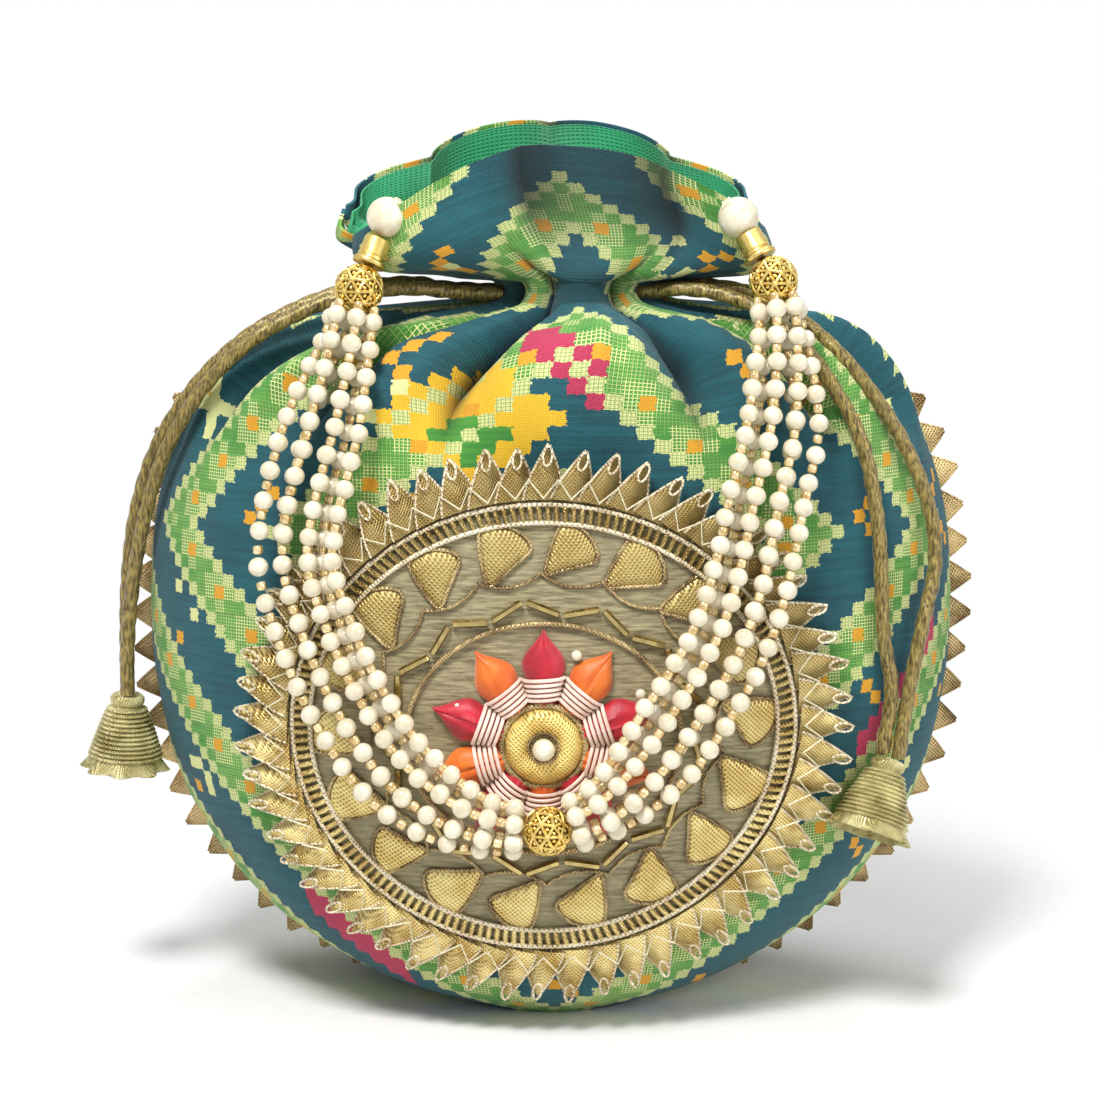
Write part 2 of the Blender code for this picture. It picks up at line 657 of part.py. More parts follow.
def build_strand(name, route, places, material, handle):
    """Thread of pearls with a seed bead between each two."""
    path = even_route(route, 0.002)
    lengths = [0.0]
    for a, b in zip(path, path[1:]):
        lengths.append(lengths[-1] + (b - a).length)
    from_axis = math.hypot(*places[0])
    reach = math.sqrt(max(BALL_RADIUS ** 2 - from_axis ** 2, 0.0)) + 2 * BALL_GAP
    start, end = reach, lengths[-1] - reach
    count = round((end - start) / PEARL_PITCH)
    pitch = (end - start) / count
    points, radii = [], []
    for i in range(count):
        for share, radius in ((0.0, SEED_RADIUS), (0.5, PEARL_RADIUS)):
            points.append(bundle_point(path, lengths, start + (i + share) * pitch, places))
            radii.append(radius)
    points.append(bundle_point(path, lengths, end, places))
    radii.append(SEED_RADIUS)
    build_tube(name, points, radii, SIDES_BEAD, material, parent=handle)


def build_handle(materials):
    """Beaded handle under one empty that sits on the line through its stitched pearls."""
    handle = bpy.data.objects.new("handle_pivot", None)
    bpy.context.scene.collection.objects.link(handle)
    handle.location = (0.0, HINGE_Y, HINGE_Z)
    for side, places in HANDLE_ENDS.items():
        build_handle_end(side, places, materials, handle)
        for k, strand in enumerate(STRAND_PLACES):
            build_strand(f"bead_strand_{side}_{k + 1}", STRAND_ROUTES[side], strand,
                         materials["pearl"], handle)
    build_filigree_ball("center_ball", Vector(CENTER_BALL), BALL_RADIUS, materials["gold"], handle)


def build_cord(name, route, material):
    """Twisted cord as one round tube."""
    points = even_route(route, CORD_STEP)
    curve = bpy.data.curves.new(name, "CURVE")
    curve.dimensions = "3D"
    curve.bevel_depth = CORD_RADIUS
    curve.bevel_resolution = 2
    curve.use_fill_caps = True
    spline = curve.splines.new("POLY")
    spline.points.add(len(points) - 1)
    for target, point in zip(spline.points, points):
        target.co = (*point, 1.0)
    curve.materials.append(material)
    cord = bpy.data.objects.new(name, curve)
    bpy.context.scene.collection.objects.link(cord)
    return cord


def bell_wave(height):
    """Waviness of the bell, which starts near its rim."""
    return BELL_WAVE * smooth_step(BELL_WAVE_START, BELL_PROFILE[9][1], height)


def build_bell(side, material):
    """Wrapped thread bell at the end of a drawstring."""
    top, direction = BELL_AXES[side]
    build_turned(f"bell_{side}", BELL_PROFILE, BELL_SIDES, material,
                 align_z(Vector(top), direction), wave=bell_wave)


def build_thread_loop(side, material):
    """Stitches that pass over the rim beside an end pearl."""
    pearl = Vector(HANDLE_ENDS[side]["pearl"])
    angle = 1.5 * math.pi + math.copysign(math.asin(abs(pearl.x) / OUTLINE[14][1]), pearl.x)
    rim = cloth_point(angle, len(OUTLINE) - 1)
    inside = cloth_point(angle, len(OUTLINE) - 1, CLOTH_THICKNESS + LINING_GAP + LINING_THICKNESS)
    outward = (rim - inside).normalized()
    clear = 3 * LOOP_RADIUS
    points = [rim + outward * clear - Vector((0, 0, 2 * clear)), rim + outward * clear,
              rim + Vector((0, 0, clear)), inside + Vector((0, 0, clear)),
              inside - outward * clear, inside - outward * clear - Vector((0, 0, 2 * clear))]
    build_tube(f"thread_loop_{side}", points, [LOOP_RADIUS] * len(points), SIDES_THREAD, material,
               up_hint=(1, 0, 0))


def main():
    clear_scene()
    printed = make_material("printed_cloth", (0.010, 0.095, 0.140), 0.80)
    lining = make_material("lining_cloth", (0.05, 0.38, 0.15), 0.85)
    silk = make_material("dupion_silk", (0.30, 0.26, 0.13), 0.60)
    ribbon = make_material("gold_ribbon", (0.62, 0.47, 0.20), 0.38, 0.8)
    gold = make_material("gold_metal", (0.75, 0.52, 0.18), 0.28, 1.0)
    pearl = make_material("pearl", (0.86, 0.82, 0.70), 0.25)
    cord = make_material("satin_cord", (0.28, 0.21, 0.09), 0.45)
    red = make_material("red_silk", (0.60, 0.01, 0.03), 0.55)
    orange = make_material("orange_silk", (0.85, 0.22, 0.02), 0.55)

    build_panel("outer_front", True, printed)
    build_panel("outer_back", False, printed)
    build_lining(lining)
    build_trim(ribbon)
    build_patch(silk)
    build_petal_trim(ribbon)
    build_braid(ribbon)
    build_wedges(ribbon)
    build_bugle_ring(gold)
    build_oval_cord(ribbon)
    for index in range(FLOWER_PETALS):
        build_flower_petal(index, (red, orange))
    build_flower_middle(ribbon, pearl)
    build_handle({"pearl": pearl, "gold": gold})
    for name, route in CORD_ROUTES.items():
        build_cord(name, route, cord)
    for side in BELL_AXES:
        build_bell(side, ribbon)
        build_thread_loop(side, pearl)


main()
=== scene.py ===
"""Looks of the potli bag: cloth, embroidery, beads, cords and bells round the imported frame.

Units are metres, +Z is up and the front of the bag faces -Y.
"""
import math
import random

import bmesh
import bpy
from mathutils import Matrix, Vector, noise


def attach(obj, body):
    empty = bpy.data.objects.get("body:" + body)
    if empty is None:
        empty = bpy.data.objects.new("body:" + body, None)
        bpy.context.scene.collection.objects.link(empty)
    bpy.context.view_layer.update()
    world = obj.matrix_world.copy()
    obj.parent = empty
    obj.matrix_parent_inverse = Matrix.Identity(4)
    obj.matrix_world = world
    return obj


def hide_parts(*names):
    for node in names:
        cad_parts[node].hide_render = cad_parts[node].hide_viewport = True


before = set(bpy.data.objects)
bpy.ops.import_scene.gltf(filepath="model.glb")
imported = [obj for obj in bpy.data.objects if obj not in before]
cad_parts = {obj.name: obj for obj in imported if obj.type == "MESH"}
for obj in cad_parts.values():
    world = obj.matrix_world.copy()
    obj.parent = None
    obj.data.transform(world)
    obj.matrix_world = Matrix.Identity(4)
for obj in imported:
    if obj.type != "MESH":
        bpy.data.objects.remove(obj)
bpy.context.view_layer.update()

BAG = "bag"
HANDLE = "handle"

# Camera of the photograph
CAMERA_TARGET = Vector((0.0, 0.0, 0.1115))
CAMERA_DISTANCE = 0.85
CAMERA_ELEVATION = math.radians(12)
CAMERA_LENS = 111.3
SENSOR_WIDTH = 36.0

# Cloth outline from the edge of the base to the rim: height, half width, half depth
OUTLINE = (
    (0.0000, 0.0280, 0.0280),
    (0.0080, 0.0505, 0.0385),
    (0.0250, 0.0745, 0.0445),
    (0.0500, 0.0915, 0.0475),
    (0.0760, 0.0985, 0.0480),
    (0.1010, 0.1000, 0.0460),
    (0.1270, 0.0970, 0.0415),
    (0.1500, 0.0870, 0.0350),
    (0.1630, 0.0710, 0.0285),
    (0.1700, 0.0465, 0.0210),
    (0.1743, 0.0225, 0.0145),
    (0.1800, 0.0200, 0.0135),
    (0.1815, 0.0345, 0.0152),
    (0.1848, 0.0485, 0.0168),
    (0.1895, 0.0545, 0.0185),
    (0.1955, 0.0535, 0.0185),
)
LAST_ROW = len(OUTLINE) - 1
NECK_BASE = 10
NECK_TOP = 11
SHOULDER = 8
GATHER_START = 0.137
GATHER_DEPTH = 0.0108
NECK_GATHER_DEPTH = 0.0024
LOBE_DEPTH = 0.0118
NECK_SHIFT = 0.0065
ROUNDNESS = 0.68
CENTER_LIFT = 1.41
# Folds from the left seam on: last column, height of the crest and how far it leans to the right
FRONT_STEPS = 24
BACK_STEPS = 20
FRONT_GATHERS = ((4, 1.5, 1.0), (7, 1.4, 1.0), (10, 1.5, 1.0), (15, 2.1, 1.0), (18, 1.5, 1.0),
                 (21, 1.4, 1.0), (24, 1.5, 1.0))
FRONT_LOBES = ((3, 0.9, 1.0), (11, 1.75, 1.35), (16, 0.35, 1.0), (21, 1.7, 0.8), (24, 0.9, 1.0))
BACK_GATHERS = ((4, 1.5, 1.0), (8, 1.5, 1.0), (12, 1.6, 1.0), (16, 1.5, 1.0), (20, 1.5, 1.0))
BACK_LOBES = ((5, 1.3, 1.0), (10, 1.3, 1.0), (15, 1.3, 1.0), (20, 1.3, 1.0))
# Columns over which folds fade out towards a seam
SEAM_FADE = 2
# Where the front's rim sags: column, half width in columns and depth
RIM_SAGS = ((6.0, 3.8, 0.0100), (13.0, 3.0, 0.0036), (19.5, 3.0, 0.0058))
# How far into a crease the painted crease shade begins
CREASE_SHADE_START = 0.15
CLOTH_THICKNESS = 0.0010
LINING_GAP = 0.0018
LINING_THICKNESS = 0.0007
SEAM_Y = 0.005

MEDALLION_CENTER = (-0.0015, 0.0775)
FIELD_CENTER = (-0.0015, 0.0757)
FLOWER_CENTER = (-0.0015, 0.0747)
PATCH_LIFT = 0.0006
TOP_OF_PATCH = 0.0019

WIDEST = 5
PATCH_RADII = (0.0655, 0.0595)
PETAL_COUNT = 56
PETAL_ROOT = (0.0605, 0.0545)
PETAL_NOTCH = (0.0655, 0.0595)
PETAL_TIP = (0.0715, 0.0655)
BRAID_MIDDLE = (0.0574, 0.0514)
WEDGE_COUNT = 18
WEDGE_MIDDLE = (0.0484, 0.0424)
BUGLE_COUNT = 26
BUGLE_RADII = ((0.0353, 0.0299), (0.0387, 0.0333))
BUGLE_RADIUS = 0.0009
OVAL_RADII = (0.0325, 0.0278)
FLOWER_PETALS = 10
FLOWER_START = 0.0098
FLOWER_LENGTH = 0.0176
SEED_PLACES = ((-0.0132, 0.0935), (0.0062, 0.0962), (-0.0215, 0.0835), (0.0212, 0.0868), (-0.0256, 0.0660))
TRIM_COUNT = 48
TRIM_HEIGHT = 0.0063
TRIM_TOP_HEIGHT = 0.150
TRIM_ROOT = 0.0008

HINGE = Vector((0.0, -0.0195, 0.1970))
HANDLE_ENDS = {
    "left": {"pearl": Vector((-0.0390, HINGE.y, HINGE.z)), "ball": Vector((-0.0455, -0.0258, 0.1806))},
    "right": {"pearl": Vector((0.0450, HINGE.y, HINGE.z)), "ball": Vector((0.0532, -0.0258, 0.1826))},
}
BALL_RADIUS = 0.0060
# Radius and height of a tube cap's section, from the ball's side up
CAP_PROFILE = (
    (0.0012, 0.0000), (0.0039, 0.0000), (0.0041, 0.0003), (0.0041, 0.0009), (0.0038, 0.0012),
    (0.0033, 0.0015), (0.00325, 0.0021), (0.0035, 0.0023), (0.0033, 0.0026), (0.0033, 0.0064),
    (0.0031, 0.0067), (0.0026, 0.0067), (0.0025, 0.0063), (0.0012, 0.0062))
END_PEARL_RADIUS = 0.0049
CENTER_BALL = Vector((-0.0007, -0.0602, 0.0565))
STRAND_ROUTES = {
    "left": ((-0.0455, -0.0258, 0.1806), (-0.0480, -0.0300, 0.1690), (-0.0530, -0.0375, 0.1505),
             (-0.0580, -0.0425, 0.1320), (-0.0595, -0.0452, 0.1180), (-0.0555, -0.0487, 0.1040),
             (-0.0485, -0.0518, 0.0880), (-0.0380, -0.0550, 0.0720), (-0.0260, -0.0582, 0.0623),
             (-0.0140, -0.0598, 0.0575), tuple(CENTER_BALL)),
    "right": ((0.0532, -0.0258, 0.1826), (0.0548, -0.0305, 0.1700), (0.0545, -0.0375, 0.1505),
              (0.0505, -0.0435, 0.1325), (0.0465, -0.0487, 0.1142), (0.0415, -0.0525, 0.1003),
              (0.0335, -0.0550, 0.0864), (0.0216, -0.0580, 0.0700), (0.0105, -0.0597, 0.0605),
              tuple(CENTER_BALL)),
}
STRAND_PLACES = (
    ((-0.0024, 0.0042), (-0.0031, 0.0022)),
    ((0.0024, 0.0042), (0.0031, 0.0022)),
    ((-0.0048, 0.0000), (-0.0093, 0.0022)),
    ((0.0048, 0.0000), (0.0093, 0.0022)),
    ((-0.0024, -0.0042), (-0.0050, -0.0024)),
    ((0.0024, -0.0042), (0.0050, -0.0024)),
)
SPREAD_LENGTH = 0.040
PEARL_PITCH = 0.0066
PEARL_RADIUS = 0.00240

CORD_RADIUS = 0.0018
# Each route starts inside the neck, goes on along its solid's and ends in its bell
CORD_ROUTES = {
    "drawstring_left_front": (
        (-0.0118, -0.0050, 0.1766), (-0.0190, -0.0061, 0.1770), (-0.0262, -0.0070, 0.1776),
        (-0.0310, -0.0088, 0.1784), (-0.0400, -0.0106, 0.1784),
        (-0.0500, -0.0116, 0.1768), (-0.0610, -0.0126, 0.1728), (-0.0735, -0.0138, 0.1655),
        (-0.0850, -0.0142, 0.1540), (-0.0940, -0.0132, 0.1390), (-0.0995, -0.0118, 0.1230),
        (-0.1030, -0.0108, 0.1060), (-0.1048, -0.0106, 0.0900), (-0.1052, -0.0108, 0.0770)),
    "drawstring_left_back": (
        (-0.0125, 0.0012, 0.1766), (-0.0200, 0.0007, 0.1770), (-0.0274, 0.0000, 0.1776),
        (-0.0320, -0.0020, 0.1788), (-0.0400, -0.0048, 0.1790),
        (-0.0500, -0.0066, 0.1776), (-0.0615, -0.0080, 0.1736), (-0.0745, -0.0094, 0.1663),
        (-0.0866, -0.0100, 0.1548), (-0.0965, -0.0092, 0.1395), (-0.1022, -0.0078, 0.1230),
        (-0.1048, -0.0068, 0.1060), (-0.1056, -0.0066, 0.0900), (-0.1056, -0.0068, 0.0770)),
    "drawstring_right_front": (
        (0.0215, -0.0058, 0.1772), (0.0262, -0.0070, 0.1776), (0.0310, -0.0092, 0.1784),
        (0.0400, -0.0122, 0.1778),
        (0.0500, -0.0152, 0.1745), (0.0590, -0.0190, 0.1680), (0.0672, -0.0230, 0.1580),
        (0.0752, -0.0252, 0.1430), (0.0792, -0.0286, 0.1225), (0.0806, -0.0312, 0.0980),
        (0.0830, -0.0297, 0.0830), (0.0809, -0.0320, 0.0674)),
    "drawstring_right_back": (
        (0.0225, 0.0008, 0.1772), (0.0274, 0.0000, 0.1776), (0.0320, -0.0030, 0.1788),
        (0.0400, -0.0066, 0.1788),
        (0.0510, -0.0098, 0.1768), (0.0620, -0.0140, 0.1705), (0.0730, -0.0180, 0.1605),
        (0.0842, -0.0190, 0.1450), (0.0918, -0.0194, 0.1280), (0.0938, -0.0214, 0.1130),
        (0.0906, -0.0258, 0.0980), (0.0874, -0.0280, 0.0820), (0.0848, -0.0320, 0.0662)),
}
BELL_AXES = {
    "left": (Vector((-0.1054, -0.0088, 0.0766)), Vector((-0.06, 0.0, -1.0))),
    "right": (Vector((0.0826, -0.0322, 0.0661)), Vector((-0.30, -0.34, -0.89))),
}
TAU = 2 * math.pi


# Camera
def make_camera():
    """The photograph's view, from the front and a little above."""
    data = bpy.data.cameras.new("view_camera")
    data.lens = CAMERA_LENS
    data.sensor_width = SENSOR_WIDTH
    data.clip_start = 0.01
    camera = bpy.data.objects.new("view_camera", data)
    bpy.context.scene.collection.objects.link(camera)
    way = Vector((0.0, -math.cos(CAMERA_ELEVATION), math.sin(CAMERA_ELEVATION)))
    camera.location = CAMERA_TARGET + way * CAMERA_DISTANCE
    camera.rotation_euler = (math.pi / 2 - CAMERA_ELEVATION, 0.0, 0.0)
    bpy.context.scene.camera = camera


# Curves and the cloth's form
def mix(a, b, share):
    return a + (b - a) * share


def smooth_step(low, high, value):
    share = min(max((value - low) / (high - low), 0.0), 1.0)
    return share * share * (3.0 - 2.0 * share)


def bump_at(center, half_width, value):
    """Smooth hump of height 1 at the centre."""
    return math.exp(-((value - center) / half_width) ** 2)


def curve_point(before, start, end, after, share):
    """Catmull-Rom point between start and end."""
    return 0.5 * (2 * start + (end - before) * share
                  + (2 * before - 5 * start + 4 * end - after) * share ** 2
                  + (3 * start - before - 3 * end + after) * share ** 3)


def outline_at(row):
    """Height, half width and half depth of the cloth at a row."""
    low = min(int(row), LAST_ROW - 1)
    stations = [Vector(OUTLINE[min(max(i, 0), LAST_ROW)]) for i in range(low - 1, low + 3)]
    if low == 0:
        stations[0] = 2 * stations[1] - stations[2]
    if low == LAST_ROW - 1:
        stations[3] = 2 * stations[2] - stations[1]
    return curve_point(*stations, row - low)


def row_at_height(height):
    low, high = 0.0, float(NECK_BASE)
    for _ in range(24):
        middle = (low + high) / 2
        if outline_at(middle).x < height:
            low = middle
        else:
            high = middle
    return low


def plain_cloth_point(angle, row):
    """Cloth point without its gathers."""
    height, half_width, half_depth = outline_at(row)
    if row > NECK_TOP:
        neck = OUTLINE[NECK_TOP][0]
        height = neck + (height - neck) * (1 + CENTER_LIFT * math.sin(angle) ** 2)
    above_neck = smooth_step(NECK_TOP + 1, LAST_ROW, row)
    shift = NECK_SHIFT * smooth_step(SHOULDER - 1, NECK_BASE, row) * (1 - above_neck)
    return Vector((half_width * math.cos(angle) + shift, half_depth * math.sin(angle), height))


def seam_angle(row, y=SEAM_Y):
    return math.asin(y / outline_at(row).z)


def column_at(angle, row):
    """Whether a point is on the front panel, and its column counted from seam to seam."""
    side = seam_angle(row)
    turn = angle % TAU
    if side < turn < math.pi - side:
        return False, (turn - side) / (math.pi - 2 * side) * BACK_STEPS
    return True, ((turn - math.pi + side) % TAU) / (math.pi + 2 * side) * FRONT_STEPS


def pleat(column, folds):
    """Rounded crests between sharp creases, flat at both seams."""
    start = 0
    for end, crest, lean in folds:
        if column <= end:
            share = min((column - start) / (end - start), 1.0)
            push = crest * math.sin(math.pi * share ** lean) ** ROUNDNESS - 1
            return push * smooth_step(0, SEAM_FADE, min(column, folds[-1][0] - column))
        start = end
    return 0.0


def fold(angle, row, height):
    """How far gathers and lobes push the cloth out."""
    front, column = column_at(angle, row)
    gathers = pleat(column, FRONT_GATHERS if front else BACK_GATHERS)
    if row <= NECK_BASE:
        shoulder = OUTLINE[SHOULDER][0]
        start = smooth_step(GATHER_START, shoulder, height)
        end = smooth_step(shoulder, OUTLINE[NECK_BASE][0], height)
        return start * mix(GATHER_DEPTH, NECK_GATHER_DEPTH, end) * gathers
    rise = smooth_step(NECK_TOP + 0.5, LAST_ROW - 1, row)
    lobes = pleat(column, FRONT_LOBES if front else BACK_LOBES)
    return (1 - rise) * NECK_GATHER_DEPTH * gathers + rise * LOBE_DEPTH * lobes


def fine_fold(angle, row, height):
    """Smaller creases that run down from the neck and up the ruffle."""
    place = Vector((math.cos(angle) * 3.0, math.sin(angle) * 3.0, row * 0.22))
    sharp = noise.noise(place * 1.9)
    soft = noise.noise(place * 0.9 + Vector((7.0, 3.0, 1.0)))
    if row <= NECK_BASE:
        reach = smooth_step(0.112, 0.160, height) * (1 - 0.75 * smooth_step(0.168, 0.176, height))
        crease = -abs(sharp) * 0.0042 + 0.0008
        return reach * (crease + soft * 0.0016) + 0.0005 * soft * smooth_step(0.02, 0.06, height)
    rise = smooth_step(NECK_TOP + 1, LAST_ROW, row)
    return rise * (sharp * 0.0016 + soft * 0.0020)


def painted_crease_shade(angle, row):
    """How deep a cloth point lies between two folds, from 0 to 1; painted shade darkens the print there and
    round the neck.
    """
    front, column = column_at(angle, row)
    gathers = smooth_step(CREASE_SHADE_START, 1.0, -pleat(column, FRONT_GATHERS if front else BACK_GATHERS))
    if row <= NECK_BASE:
        return gathers * smooth_step(GATHER_START - 0.004, OUTLINE[SHOULDER][0] + 0.002, outline_at(row).x)
    rise = smooth_step(NECK_TOP + 0.5, LAST_ROW - 1, row)
    lobes = smooth_step(CREASE_SHADE_START, 1.0, -pleat(column, FRONT_LOBES if front else BACK_LOBES))
    # Round the neck the painted shade stays at least 0.45 until the ruffle rises.
    return max((1 - rise) * max(gathers, 0.45), rise * lobes)


def rim_dip(angle, row):
    """How far the front of the ruffle sags below the back, so that the lining shows behind it."""
    front, column = column_at(angle, row)
    if not front or row <= NECK_TOP:
        return 0.0
    sag = sum(depth * bump_at(center, half_width, column) for center, half_width, depth in RIM_SAGS)
    near_rim = smooth_step(LAST_ROW - 3, LAST_ROW, row)
    return sag * smooth_step(0, SEAM_FADE, min(column, FRONT_STEPS - column)) * near_rim


def cloth_normal(angle, row):
    step = 0.01
    low, high = max(row - step, 0.0), min(row + step, float(LAST_ROW))
    around = plain_cloth_point(angle + step, row) - plain_cloth_point(angle - step, row)
    upward = plain_cloth_point(angle, high) - plain_cloth_point(angle, low)
    return around.cross(upward).normalized()


def cloth_point(angle, row, inset=0.0, fine=1.0):
    """Cloth point with its gathers, moved in by inset."""
    height = outline_at(row).x
    push = fold(angle, row, height) + fine * fine_fold(angle, row, height) - inset
    if row == 0:
        return plain_cloth_point(angle, row) + Vector((0.0, 0.0, inset))
    dip = Vector((0.0, 0.0, rim_dip(angle, row)))
    return plain_cloth_point(angle, row) + cloth_normal(angle, row) * push - dip


BODY_STEP = 0.0005
BODY_SECTIONS = [outline_at(row_at_height(i * BODY_STEP)) for i in range(320)]


def section_at(height):
    """Half width and half depth of the body at a height."""
    place = height / BODY_STEP
    low = int(place)
    section = BODY_SECTIONS[low].lerp(BODY_SECTIONS[low + 1], place - low)
    return section.y, section.z


def front_point(x, z, lift=0.0):
    """Point of the bag's front at x and z, raised by lift."""
    half_width, half_depth = section_at(z)
    share = min(abs(x / half_width), 0.999)
    surface = Vector((x, -half_depth * math.sqrt(1 - share * share), z))
    slope = (section_at(z + 0.004)[1] - section_at(z - 0.004)[1]) / 0.008
    normal = Vector((x / half_width ** 2, surface.y / half_depth ** 2, 0.0)).normalized()
    return surface + Vector((normal.x, normal.y, -slope)).normalized() * lift


def ring_point(radii, angle, lift, center=MEDALLION_CENTER):
    """Point of an oval round a centre; angle 0 is to the right and grows upward."""
    x = center[0] + radii[0] * math.cos(angle)
    z = center[1] + radii[1] * math.sin(angle)
    return front_point(x, z, lift)


def flat_point(center, angle, along, across, lift):
    """Point on the front: along and across a direction that leaves the centre at an angle."""
    x = center[0] + along * math.cos(angle) - across * math.sin(angle)
    z = center[1] + along * math.sin(angle) + across * math.cos(angle)
    return front_point(x, z, lift)


def oval_reach(radii, angle):
    """Distance from an oval's centre to its edge in the direction of an angle."""
    return radii[0] * radii[1] / math.hypot(radii[1] * math.cos(angle), radii[0] * math.sin(angle))


def even_angles(radii, count, start=0.0):
    """Angles of points that are evenly spaced along an oval's edge."""
    dense = 720
    points = [Vector((radii[0] * math.cos(TAU * i / dense), radii[1] * math.sin(TAU * i / dense), 0))
              for i in range(dense + 1)]
    lengths = running_lengths(points)
    angles, low = [], 0
    for k in range(count):
        wanted = lengths[-1] * k / count
        while lengths[low + 1] < wanted:
            low += 1
        share = (wanted - lengths[low]) / (lengths[low + 1] - lengths[low])
        point = points[low].lerp(points[low + 1], share)
        angles.append(math.atan2(point.y, point.x) + start)
    return angles


def twist(plies, step, pitch, depth=0.17):
    """Outline of a twisted cord, for points a step apart."""
    def scale(i, angle):
        return 1 - depth + depth * abs(math.cos(plies / 2 * (angle - TAU * i * step / pitch)))
    return scale


def even_route(points, step):
    """Points a step apart on a smooth curve through the given ones, with both ends kept."""
    route = [Vector(p) for p in points]
    padded = [2 * route[0] - route[1]] + route + [2 * route[-1] - route[-2]]
    dense = []
    for i in range(len(route) - 1):
        dense += [curve_point(*padded[i:i + 4], k / 16) for k in range(16)]
    dense.append(route[-1])
    lengths = running_lengths(dense)
    count = max(round(lengths[-1] / step), 2)
    result, low = [], 0
    for i in range(count + 1):
        wanted = lengths[-1] * i / count
        while low < len(dense) - 2 and lengths[low + 1] < wanted:
            low += 1
        share = (wanted - lengths[low]) / (lengths[low + 1] - lengths[low])
        result.append(dense[low].lerp(dense[low + 1], share))
    return result


def even_loop(points, count):
    """Points evenly spaced round a closed line."""
    ring = list(points) + [points[0]]
    lengths = running_lengths(ring)
    result, low = [], 0
    for i in range(count):
        wanted = lengths[-1] * i / count
        while lengths[low + 1] < wanted:
            low += 1
        share = (wanted - lengths[low]) / (lengths[low + 1] - lengths[low])
        result.append(ring[low].lerp(ring[low + 1], share))
    return result


def running_lengths(points):
    lengths = [0.0]
    for a, b in zip(points, points[1:]):
        lengths.append(lengths[-1] + (b - a).length)
    return lengths


def frame_axes(tangent, up_hint):
    """Two directions square to the tangent: sideways and up."""
    tangent = tangent.normalized()
    side = tangent.cross(up_hint).normalized()
    return side, side.cross(tangent)


def align_z(point, direction, hint=(0, 1, 0)):
    """Matrix that puts local +Z along the direction at the point."""
    z_axis = Vector(direction).normalized()
    x_axis = Vector(hint).cross(z_axis).normalized()
    y_axis = z_axis.cross(x_axis)
    return Matrix.Translation(point) @ Matrix((x_axis, y_axis, z_axis)).transposed().to_4x4()


def turned_ring(place, radius, height, count):
    """Points round a local Z axis."""
    return [place @ Vector((radius * math.cos(TAU * i / count), radius * math.sin(TAU * i / count), height))
            for i in range(count)]


